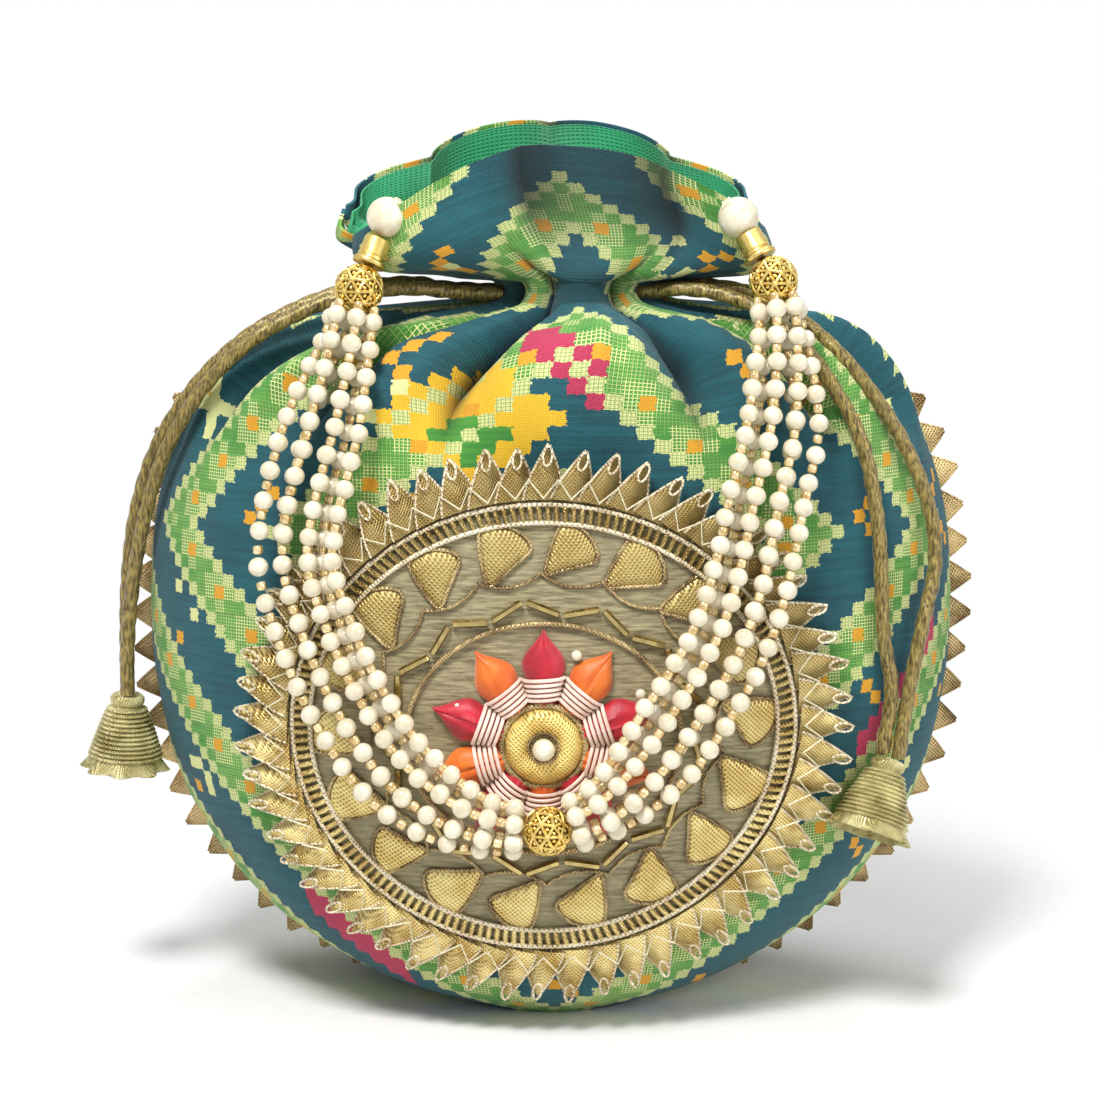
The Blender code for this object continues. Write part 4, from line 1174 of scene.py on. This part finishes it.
def make_trim(material):
    """Ribbon folded into overlapping triangles."""
    path = trim_stations()
    span = (len(path) - 1) / TRIM_COUNT
    shape = Shape()
    for k in range(TRIM_COUNT):
        middle = path[min(round((k + 0.5) * span), len(path) - 1)]
        first, last = path[round(k * span)], path[round((k + 1) * span)]
        if min(first.z, middle.z, last.z) < TRIM_ROOT:
            continue
        tangent = (last - first).normalized()
        way_out = Vector((tangent.z, 0.0, -tangent.x))
        half = (last - first).length * 0.53
        turn = 0.35 + 0.1 * math.sin(k * 2.3)
        height = TRIM_HEIGHT * (1 + 0.08 * math.sin(k * 1.7))
        for lean, shrink in ((0.0, 1.0), (0.00045, 0.72)):
            front, back = [], []
            for r in range(7):
                out = -TRIM_ROOT + (height * shrink + TRIM_ROOT) * r / 6
                width = half * shrink * (1 - (r / 6) ** 1.15) + 0.00025
                front_row, back_row = [], []
                for c in range(7):
                    across = c / 3 - 1
                    puff = 0.0009 * (1 - across ** 2) * math.sin(math.pi * min(r / 6 + 0.25, 1.0))
                    slant = turn * across * 0.0011 * (1 - r / 6)
                    base = middle + tangent * (across * width) + way_out * out
                    base.z = max(base.z, 0.0006)
                    front_row.append(base + Vector((0, slant - puff - 0.00025 - lean, 0)))
                    back_row.append(base + Vector((0, slant + 0.2 * puff - lean, 0)))
                front.append(front_row)
                back.append(back_row)
            shape.add_slab(front, back)
        for edge in (-1, 1):
            wire = []
            for r in range(7):
                out = -TRIM_ROOT + (height + TRIM_ROOT) * r / 6
                width = half * (1 - (r / 6) ** 1.15) + 0.0003
                point = middle + tangent * (edge * width) + way_out * out
                point.z = max(point.z, 0.0006)
                wire.append(point + Vector((0, turn * edge * 0.0011 * (1 - r / 6) - 0.0001, 0)))
            shape.add_tube(wire, 0.00032, 5, hint=(0, 1, 0))
    trim = shape.build("seam_ribbon_points", material, BAG)
    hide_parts("seam_trim")


# Medallion
def make_patch(material):
    """Oval of silk with a turned edge."""
    rings, columns = 26, 120
    top, low = [], []
    for r in range(rings + 1):
        share = mix(0.02, 1.0, r / rings)
        edge = 0.0005 * smooth_step(0.96, 1.0, share)
        top_row, low_row = [], []
        for c in range(columns):
            angle = TAU * c / columns
            radii = (PATCH_RADII[0] * share, PATCH_RADII[1] * share)
            x = MEDALLION_CENTER[0] + radii[0] * math.cos(angle)
            z = MEDALLION_CENTER[1] + radii[1] * math.sin(angle)
            pucker = 0.00022 * noise.noise(Vector((x * 90, z * 140, 0.0)))
            top_row.append(front_point(x, z, PATCH_LIFT + 0.0010 - edge + pucker))
            low_row.append(front_point(x, z, PATCH_LIFT))
        top.append(top_row)
        low.append(low_row)
    shape = Shape()
    shape.add_slab(top, low, wrap=True, floor=True)
    patch = shape.build("silk_patch", material, BAG)
    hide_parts("medallion_patch")
    return patch


def petal_width(share):
    """Half width of a folded ribbon petal from its root to its tip."""
    return 0.0041 * (1 - share ** 1.5) + 0.0007


def make_petals(ribbon, edge_material, thread):
    """Ribbon folded into overlapping points with open tips, and the thread sewn over their roots."""
    shape, wires = Shape(), Shape()
    for k, angle in enumerate(even_angles(PETAL_TIP, PETAL_COUNT)):
        reach, root = oval_reach(PETAL_TIP, angle), oval_reach(PETAL_ROOT, angle)
        length = (reach - root) * (1 + 0.04 * math.sin(k * 3.7))
        lean = -0.0016 - 0.0005 * math.sin(k * 2.1)
        roll = 0.0010 + 0.0003 * math.sin(k * 1.3)

        def at(share, across, lift):
            side = across * petal_width(min(share, 1.0)) + lean * share
            return flat_point(MEDALLION_CENTER, angle, root + length * share, side, TOP_OF_PATCH + lift)

        def height(share, across):
            fold_up = 0.0015 * (1 - abs(across - 0.25) ** 1.4) * (0.4 + 0.6 * math.sin(math.pi * share))
            return 0.0010 + roll * across + fold_up + 0.0010 * share

        top, low = [], []
        for r in range(10):
            share = r / 9
            top.append([at(share, c / 4 - 1, height(share, c / 4 - 1)) for c in range(9)])
            low.append([at(share, c / 4 - 1, height(share, c / 4 - 1) - 0.00025) for c in range(9)])
        shape.add_slab(top, low)
        left = [at(r / 8, -1, height(r / 8, -1) + 0.0001) for r in range(9)]
        right = [at(r / 8, 1, height(r / 8, 1) + 0.0001) for r in range(9)]
        tip = [at(1.05, -0.6, 0.0030), at(1.08, 0.3, 0.0034)]
        wires.add_tube(left + tip + list(reversed(right)), 0.00030, 5)
        eye = []
        for i in range(12):
            turn = TAU * i / 12
            eye.append(at(0.84 + 0.19 * math.cos(turn), 0.0, 0.0040)
                       + (at(0.84, 1.0, 0.0) - at(0.84, -1.0, 0.0)) * (0.33 * math.sin(turn)))
        wires.add_tube(eye, 0.00030, 5, closed=True)
    petals = shape.build("ribbon_petals", ribbon, BAG)
    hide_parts("petal_trim")
    edge = wires.build("ribbon_petal_edges", edge_material, BAG)
    stitches = Shape()
    points = []
    for k, angle in enumerate(even_angles(PETAL_NOTCH, 2 * PETAL_COUNT)):
        radii = (0.0650, 0.0590) if k % 2 else (0.0608, 0.0548)
        points.append(flat_point(MEDALLION_CENTER, angle, oval_reach(radii, angle), 0.0,
                                 TOP_OF_PATCH + 0.0036))
    stitches.add_tube(points, 0.00030, 5, closed=True)
    piece = stitches.build("petal_stitching", thread, BAG)


def make_braid(ribbon, cord):
    """Ladder braid: bars across between two twisted edge cords."""
    shape = Shape()
    for angle in even_angles(BRAID_MIDDLE, 170):
        middle = oval_reach(BRAID_MIDDLE, angle)
        line = [flat_point(MEDALLION_CENTER, angle + 0.004 * t, middle + 0.0016 * t, 0.0,
                           TOP_OF_PATCH + 0.0007 + 0.0004 * (1 - t * t)) for t in (-1, 0, 1)]
        shape.add_tube(line, 0.00062, 6)
    ladder = shape.build("braid_bars", ribbon, BAG)
    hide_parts("braid_ring")
    edges = Shape()
    for grow in (-0.0021, 0.0021):
        radii = (BRAID_MIDDLE[0] + grow, BRAID_MIDDLE[1] + grow)
        points = [ring_point(radii, TAU * i / 520, TOP_OF_PATCH + 0.0008) for i in range(520)]
        edges.add_tube(points, 0.00066, 8, closed=True, shape=twist(2, 0.00068, 0.0034, 0.26))
    piece = edges.build("braid_edge_cords", cord, BAG)


# Corners of a fan in millimetres, and how much it is widened and lengthened
WEDGE_SCALE = (1.12, 1.14)
WEDGE_CORNERS = ((-4.7, 2.4), (-4.4, 3.9), (-2.4, 5.0), (0.4, 5.4), (3.0, 4.9), (4.9, 3.6), (5.1, 2.2),
                 (3.6, -1.3), (1.7, -4.4), (0.7, -5.6), (-0.3, -5.4), (-1.7, -2.8), (-3.6, 0.5))


def wedge_outline():
    """Rounded fan round its own middle: across and outward of the ring, pointed at its inner end."""
    corners = [Vector((x * 0.001, z * 0.001, 0)) for x, z in WEDGE_CORNERS]
    count = len(corners)
    points = []
    for i in range(count):
        around = [corners[(i + k) % count] for k in (-1, 0, 1, 2)]
        points += [curve_point(*around, k / 4) for k in range(4)]
    return points


def make_wedges(ribbon, cord):
    """Woven ribbon fans, each outlined with couched cord, and the scalloped cord inside them."""
    cloth, lines = Shape(), Shape()
    outline = wedge_outline()
    for k, angle in enumerate(even_angles(WEDGE_MIDDLE, WEDGE_COUNT, 0.05)):
        center_reach = oval_reach(WEDGE_MIDDLE, angle)
        swing = math.radians(33 + 6 * math.sin(k * 1.9))
        size = 1 + 0.05 * math.sin(k * 2.7)

        def place(point, share, lift):
            across = WEDGE_SCALE[0] * point.x * share * size
            along = WEDGE_SCALE[1] * point.y * share * size
            side = across * math.cos(swing) - along * math.sin(swing)
            out = across * math.sin(swing) + along * math.cos(swing)
            return flat_point(MEDALLION_CENTER, angle, center_reach + out, side, TOP_OF_PATCH + lift)

        top, low = [], []
        for share in (0.03, 0.35, 0.68, 0.93, 1.0):
            lift = 0.0012 - 0.0008 * smooth_step(0.8, 1.0, share)
            top.append([place(point, share, lift) for point in outline])
            low.append([place(point, share, 0.0) for point in outline])
        cloth.add_slab(top, low, wrap=True, floor=True)
        line = even_loop([place(point, 1.10, 0.0004) for point in outline], 64)
        lines.add_tube(line, 0.00052, 7, closed=True, shape=twist(2, 0.00050, 0.0024, 0.30))
    wedges = cloth.build("ribbon_wedges", ribbon, BAG)
    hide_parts("gota_wedges")
    points = []
    for i in range(560):
        angle = TAU * i / 560
        dip = abs(math.sin(WEDGE_COUNT / 2 * (angle - 0.19))) ** 0.7
        radii = (0.0436 - 0.0030 * dip, 0.0380 - 0.0030 * dip)
        points.append(ring_point(radii, angle, TOP_OF_PATCH + 0.0004))
    lines.add_tube(points, 0.00046, 7, closed=True, shape=twist(2, 0.0005, 0.0024, 0.30))
    outlines = lines.build("wedge_outline_cords", cord, BAG)


def make_bugles(material):
    """Bugle beads sewn end to end as a zigzag ring."""
    lift = TOP_OF_PATCH + BUGLE_RADIUS
    shape = Shape()
    corners = [ring_point(BUGLE_RADII[i % 2], TAU * i / BUGLE_COUNT, lift, FIELD_CENTER)
               for i in range(BUGLE_COUNT)]
    for i, start in enumerate(corners):
        end = corners[(i + 1) % BUGLE_COUNT]
        reach = end - start
        bead = [start + reach * share for share in (0.07, 0.09, 0.5, 0.91, 0.93)]
        shape.add_tube(bead, lambda k: 0.00072 if k in (0, 4) else BUGLE_RADIUS, 6)
    ring = shape.build("bugle_beads", material, BAG, smooth=False)
    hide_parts("bugle_ring")


def make_oval_cord(material):
    count = 420
    points = [ring_point(OVAL_RADII, TAU * i / count, TOP_OF_PATCH + 0.0006, FIELD_CENTER)
              for i in range(count)]
    shape = Shape()
    shape.add_tube(points, 0.00072, 8, closed=True, shape=twist(2, 0.00045, 0.0026, 0.26))
    cord = shape.build("oval_twisted_cord", material, BAG)
    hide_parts("oval_cord")


# Flower
def make_flower(silks, wire, woven, rim_cord, pearl, seed):
    """Folded silk petals bound with wire, round a woven button with a pearl."""
    bindings = Shape()
    for k in range(FLOWER_PETALS):
        angle = math.pi / 2 + TAU * k / FLOWER_PETALS
        shape = Shape()
        top, low = [], []
        for r in range(15):
            share = r / 14
            reach = FLOWER_START + FLOWER_LENGTH * share
            half = flower_half_width(share)
            peak = 0.0030 * math.sin(math.pi * (0.18 + 0.74 * share)) + 0.0004
            top_row, low_row = [], []
            for c in range(13):
                across = c / 6 - 1
                crease = 0.0005 * math.exp(-(across / 0.12) ** 2) * smooth_step(0.25, 0.6, share)
                pleats = 0.00030 * math.cos(across * 13 + k) * (1 - smooth_step(0.35, 0.8, share))
                arch = 1 - across ** 2
                lift = TOP_OF_PATCH + 0.0002 + peak * arch ** 0.7 - crease + pleats * arch
                side = across * half
                top_row.append(flat_point(FLOWER_CENTER, angle, reach, side, lift))
                low_row.append(flat_point(FLOWER_CENTER, angle, reach, side, TOP_OF_PATCH + 0.0001))
            top.append(top_row)
            low.append(low_row)
        shape.add_slab(top, low)
        petal = shape.build(f"silk_petal_{k + 1:02d}", silks[k % 2], BAG)
        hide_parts(f"flower_petal_{k + 1:02d}")
        for turn in range(5):
            reach = FLOWER_START + 0.0014 + 0.00118 * turn
            share = (reach - FLOWER_START) / FLOWER_LENGTH
            half = flower_half_width(share) + 0.0005
            high = 0.0030 * math.sin(math.pi * (0.18 + 0.74 * share)) + 0.0010
            arc = []
            for i in range(11):
                swing = math.pi * i / 10
                lift = TOP_OF_PATCH + 0.0004 + math.sin(swing) * high
                arc.append(flat_point(FLOWER_CENTER, angle, reach + 0.0003 * math.cos(swing + k),
                                      -math.cos(swing) * half, lift))
            bindings.add_tube(arc, 0.00046, 7)
    bound = bindings.build("petal_bindings", wire, BAG)

    seat = front_point(*FLOWER_CENTER, TOP_OF_PATCH)
    place = align_z(seat, (0, -1, 0), (0, 0, 1))
    dome = [(0.0002, 0.0016), (0.0028, 0.0016), (0.0034, 0.0027), (0.0046, 0.0037), (0.0062, 0.0041),
            (0.0078, 0.0036), (0.0089, 0.0025), (0.0094, 0.0010), (0.0094, 0.0002), (0.0002, 0.0002)]
    shape = Shape()
    shape.add_turned(dome, 48, place)
    button = shape.build("woven_button", woven, BAG)
    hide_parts("flower_button")
    rims = Shape()
    count, radius = 150, 0.0100
    rims.add_tube(turned_ring(place, radius, 0.0012, count), 0.0009, 8, closed=True,
                  shape=twist(2, TAU * radius / count, 0.0031, 0.28))
    for k in range(2):
        ring = turned_ring(place, 0.0029 + 0.0008 * k, 0.0024 + 0.0006 * k, 60)
        rims.add_tube(ring, 0.00040, 6, closed=True)
    piece = rims.build("button_rim_cords", rim_cord, BAG)
    shape = Shape()
    shape.add_ball(place @ Vector((0, 0, 0.0047)), 0.0027, 24, 14, (0, -1, 0))
    bead = shape.build("button_pearl", pearl, BAG)
    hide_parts("flower_pearl")
    seeds = Shape()
    for x, z in SEED_PLACES:
        seeds.add_ball(front_point(x, z, TOP_OF_PATCH + 0.0012), 0.0013, 14, 8, (0, -1, 0), 0.8)
    beads = seeds.build("field_seed_beads", seed, BAG)


def flower_half_width(share):
    """Half width of a silk petal: gathered at its root, full, then pointed."""
    root = mix(0.0034, 0.0052, smooth_step(0.15, 0.55, share))
    return root * (1 - smooth_step(0.50, 1.05, share) ** 1.2) + 0.0001


# Handle
def bundle_point(route, lengths, distance, places):
    """Point of one strand at a distance along the bundle's middle line."""
    low = 0
    while low < len(route) - 2 and lengths[low + 1] < distance:
        low += 1
    share = (distance - lengths[low]) / (lengths[low + 1] - lengths[low])
    middle = route[low].lerp(route[low + 1], share)
    tangent = route[min(low + 2, len(route) - 1)] - route[max(low - 1, 0)]
    _, half_width, half_depth = OUTLINE[WIDEST]
    outward = Vector((middle.x / half_width ** 2, middle.y / half_depth ** 2, 0.0))
    side, upward = frame_axes(tangent, outward)
    end = lengths[-1]
    spread = smooth_step(0.0, SPREAD_LENGTH, distance) * smooth_step(0.0, SPREAD_LENGTH, end - distance)
    (near_side, near_up), (wide_side, wide_up) = places
    return middle + side * mix(near_side, wide_side, spread) + upward * mix(near_up, wide_up, spread)


def seed_radius(i):
    """Radius of a seed bead at the points of its line, less at both ends."""
    return 0.00085 if i in (0, 3) else 0.00118


def make_strands(pearl, glass):
    """Threads of pearls with a glass seed bead between each two."""
    for side, points in STRAND_ROUTES.items():
        path = even_route(points, 0.002)
        lengths = running_lengths(path)
        seeds = Shape()
        for k, places in enumerate(STRAND_PLACES):
            from_axis = math.hypot(*places[0])
            reach = math.sqrt(max(BALL_RADIUS ** 2 - from_axis ** 2, 0.0)) + 0.0008
            start, end = reach, lengths[-1] - reach
            count = round((end - start) / PEARL_PITCH)
            pitch = (end - start) / count
            pearls = Shape()
            draw = random.Random(17 * k + len(side))
            for i in range(count):
                here = start + (i + 0.5) * pitch
                center = bundle_point(path, lengths, here, places)
                along = bundle_point(path, lengths, here + 0.001, places) - center
                center += Vector([draw.uniform(-0.00018, 0.00018) for _ in range(3)])
                pearls.add_ball(center, PEARL_RADIUS * draw.uniform(0.965, 1.02), 18, 11, along, 0.96)
                seat = start + i * pitch
                bead = bundle_point(path, lengths, max(seat, start + 0.0006), places)
                along = bundle_point(path, lengths, seat + 0.001, places) - bead
                line = [bead + along.normalized() * t for t in (-0.00105, -0.0007, 0.0007, 0.00105)]
                seeds.add_tube(line, seed_radius, 8, hint=(0.1, -1, 0.2))
            strand = pearls.build(f"pearl_strand_{side}_{k + 1}", pearl, HANDLE)
            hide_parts(f"bead_strand_{side}_{k + 1}")
        beads = seeds.build(f"glass_seeds_{side}", glass, HANDLE)


def make_filigree(name, center, node, gold, dark):
    """Stamped openwork ball round a dark gold core that is painted shade for its hollow inside."""
    mesh = bmesh.new()
    bmesh.ops.create_icosphere(mesh, subdivisions=2, radius=BALL_RADIUS - 0.0004)
    lattice = Shape()
    for edge in mesh.edges:
        a, b = (vert.co.normalized() * (BALL_RADIUS - 0.00045) for vert in edge.verts)
        middle = (a + b).normalized() * (BALL_RADIUS - 0.0004)
        lattice.add_tube([center + a, center + middle, center + b], 0.00042, 6, hint=(0.3, 0.5, 0.8))
    for face in mesh.faces:
        spot = face.calc_center_median().normalized()
        lattice.add_ball(center + spot * (BALL_RADIUS - 0.0007), 0.00055, 8, 5, spot, 0.7)
    for vert in mesh.verts:
        spot = vert.co.normalized()
        lattice.add_ball(center + spot * (BALL_RADIUS - 0.0005), 0.00072, 8, 5, spot, 0.8)
    mesh.free()
    ball = lattice.build(name + "_openwork", gold, HANDLE)
    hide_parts(node)
    # Dark core: painted shade for the hollow inside seen through the openwork.
    inside = Shape()
    inside.add_ball(center, BALL_RADIUS - 0.0010, 24, 14)
    core = inside.build(name + "_inside", dark, HANDLE)


def make_handle(pearl, glass, gold, dark):
    make_strands(pearl, glass)
    for side, places in HANDLE_ENDS.items():
        shape = Shape()
        toward = (places["pearl"] - places["ball"]).normalized()
        shape.add_ball(places["pearl"], END_PEARL_RADIUS, 36, 22, toward)
        piece = shape.build(f"end_pearl_{side}_lacquered", pearl, HANDLE)
        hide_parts(f"end_pearl_{side}")
        start = places["ball"] + toward * (BALL_RADIUS + 0.0002)
        shape = Shape()
        shape.add_turned(CAP_PROFILE, 40, align_z(start, toward), closed=True)
        cap = shape.build(f"tube_cap_{side}_plated", gold, HANDLE)
        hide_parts(f"tube_cap_{side}")
        make_filigree(f"stamped_ball_{side}", places["ball"], f"filigree_ball_{side}", gold, dark)
    make_filigree("stamped_ball_low", CENTER_BALL, "center_ball", gold, dark)


def make_threads(material):
    """Thread that sews each end pearl to the rim."""
    for side, places in HANDLE_ENDS.items():
        pearl = places["pearl"]
        shape = Shape()
        for k in range(4):
            across = (0.0022 + 0.0005 * k) * (1 if side == "left" else -1)
            top = math.sqrt(0.0051 ** 2 - across ** 2)
            line = [pearl + Vector((across, -0.0026, top - 0.0010)), pearl + Vector((across, 0.0000, top)),
                    pearl + Vector((across * 1.1, 0.0030, top - 0.0008)),
                    pearl + Vector((across * 1.3, 0.0064, top - 0.0034))]
            shape.add_tube(even_route(line, 0.0006), 0.00028, 6, hint=(1, 0.1, 0))
        loop = shape.build(f"sewn_thread_{side}", material, BAG)
        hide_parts(f"thread_loop_{side}")


def main():
    make_camera()
    cord_material = satin_cord()
    wound = woven_gold("wound_gold", (0.86, 0.78, 0.40), (0.44, 0.37, 0.13), pitch=0.0006, metallic=0.35)
    bells = {side: make_bell(side, wound) for side in BELL_AXES}
    for name, route in CORD_ROUTES.items():
        make_cord(name, route, cord_material)
    make_stage()
    front = make_cloth(printed_cloth(), lining_cloth())
    bright = woven_gold("bright_ribbon", (1.00, 0.82, 0.36), (0.56, 0.37, 0.10), shaded=0.75)
    button = woven_gold("button_ribbon", (0.98, 0.78, 0.26), (0.75, 0.50, 0.12), pitch=0.0011)
    bronze = woven_gold("bronze_ribbon", (0.74, 0.55, 0.26), (0.26, 0.16, 0.06))
    pale_edge = woven_gold("pale_edge", (0.92, 0.82, 0.60), (0.72, 0.58, 0.36), pitch=0.0012,
                           metallic=0.25)
    old_cord = woven_gold("antique_cord", (0.62, 0.47, 0.22), (0.26, 0.17, 0.07), metallic=0.35)
    gold = gold_metal("gold_plate", (0.95, 0.70, 0.22))
    # Dark gold for the filigree balls' cores, painted shade for their hollow insides
    shade_core_gold = gold_metal("gold_shade_core", (0.30, 0.18, 0.05), 0.45)
    rose_wire = plain_silk("rose_wire", (0.94, 0.78, 0.68), (0.78, 0.56, 0.46))
    pearl, glass, thread = pearl_lacquer(), seed_glass(), cotton_thread()
    make_trim(bronze)
    patch = make_patch(dupion_silk())
    make_petals(bright, pale_edge, thread)
    make_braid(bright, pale_edge)
    fan_gold = woven_gold("fan_ribbon", (0.98, 0.82, 0.34), (0.76, 0.54, 0.16), pitch=0.0012,
                          metallic=0.35, shaded=0.75)
    make_wedges(fan_gold, old_cord)
    make_bugles(gold_metal("bugle_glass", (0.62, 0.48, 0.20), 0.14))
    make_oval_cord(old_cord)
    silks = (plain_silk("red_silk", (0.62, 0.008, 0.030), (0.34, 0.004, 0.016)),
             plain_silk("orange_silk", (0.86, 0.200, 0.012), (0.60, 0.100, 0.006)))
    make_flower(silks, rose_wire, button, old_cord, pearl, pearl)
    make_handle(pearl, glass, gold, shade_core_gold)
    make_threads(thread)


main()
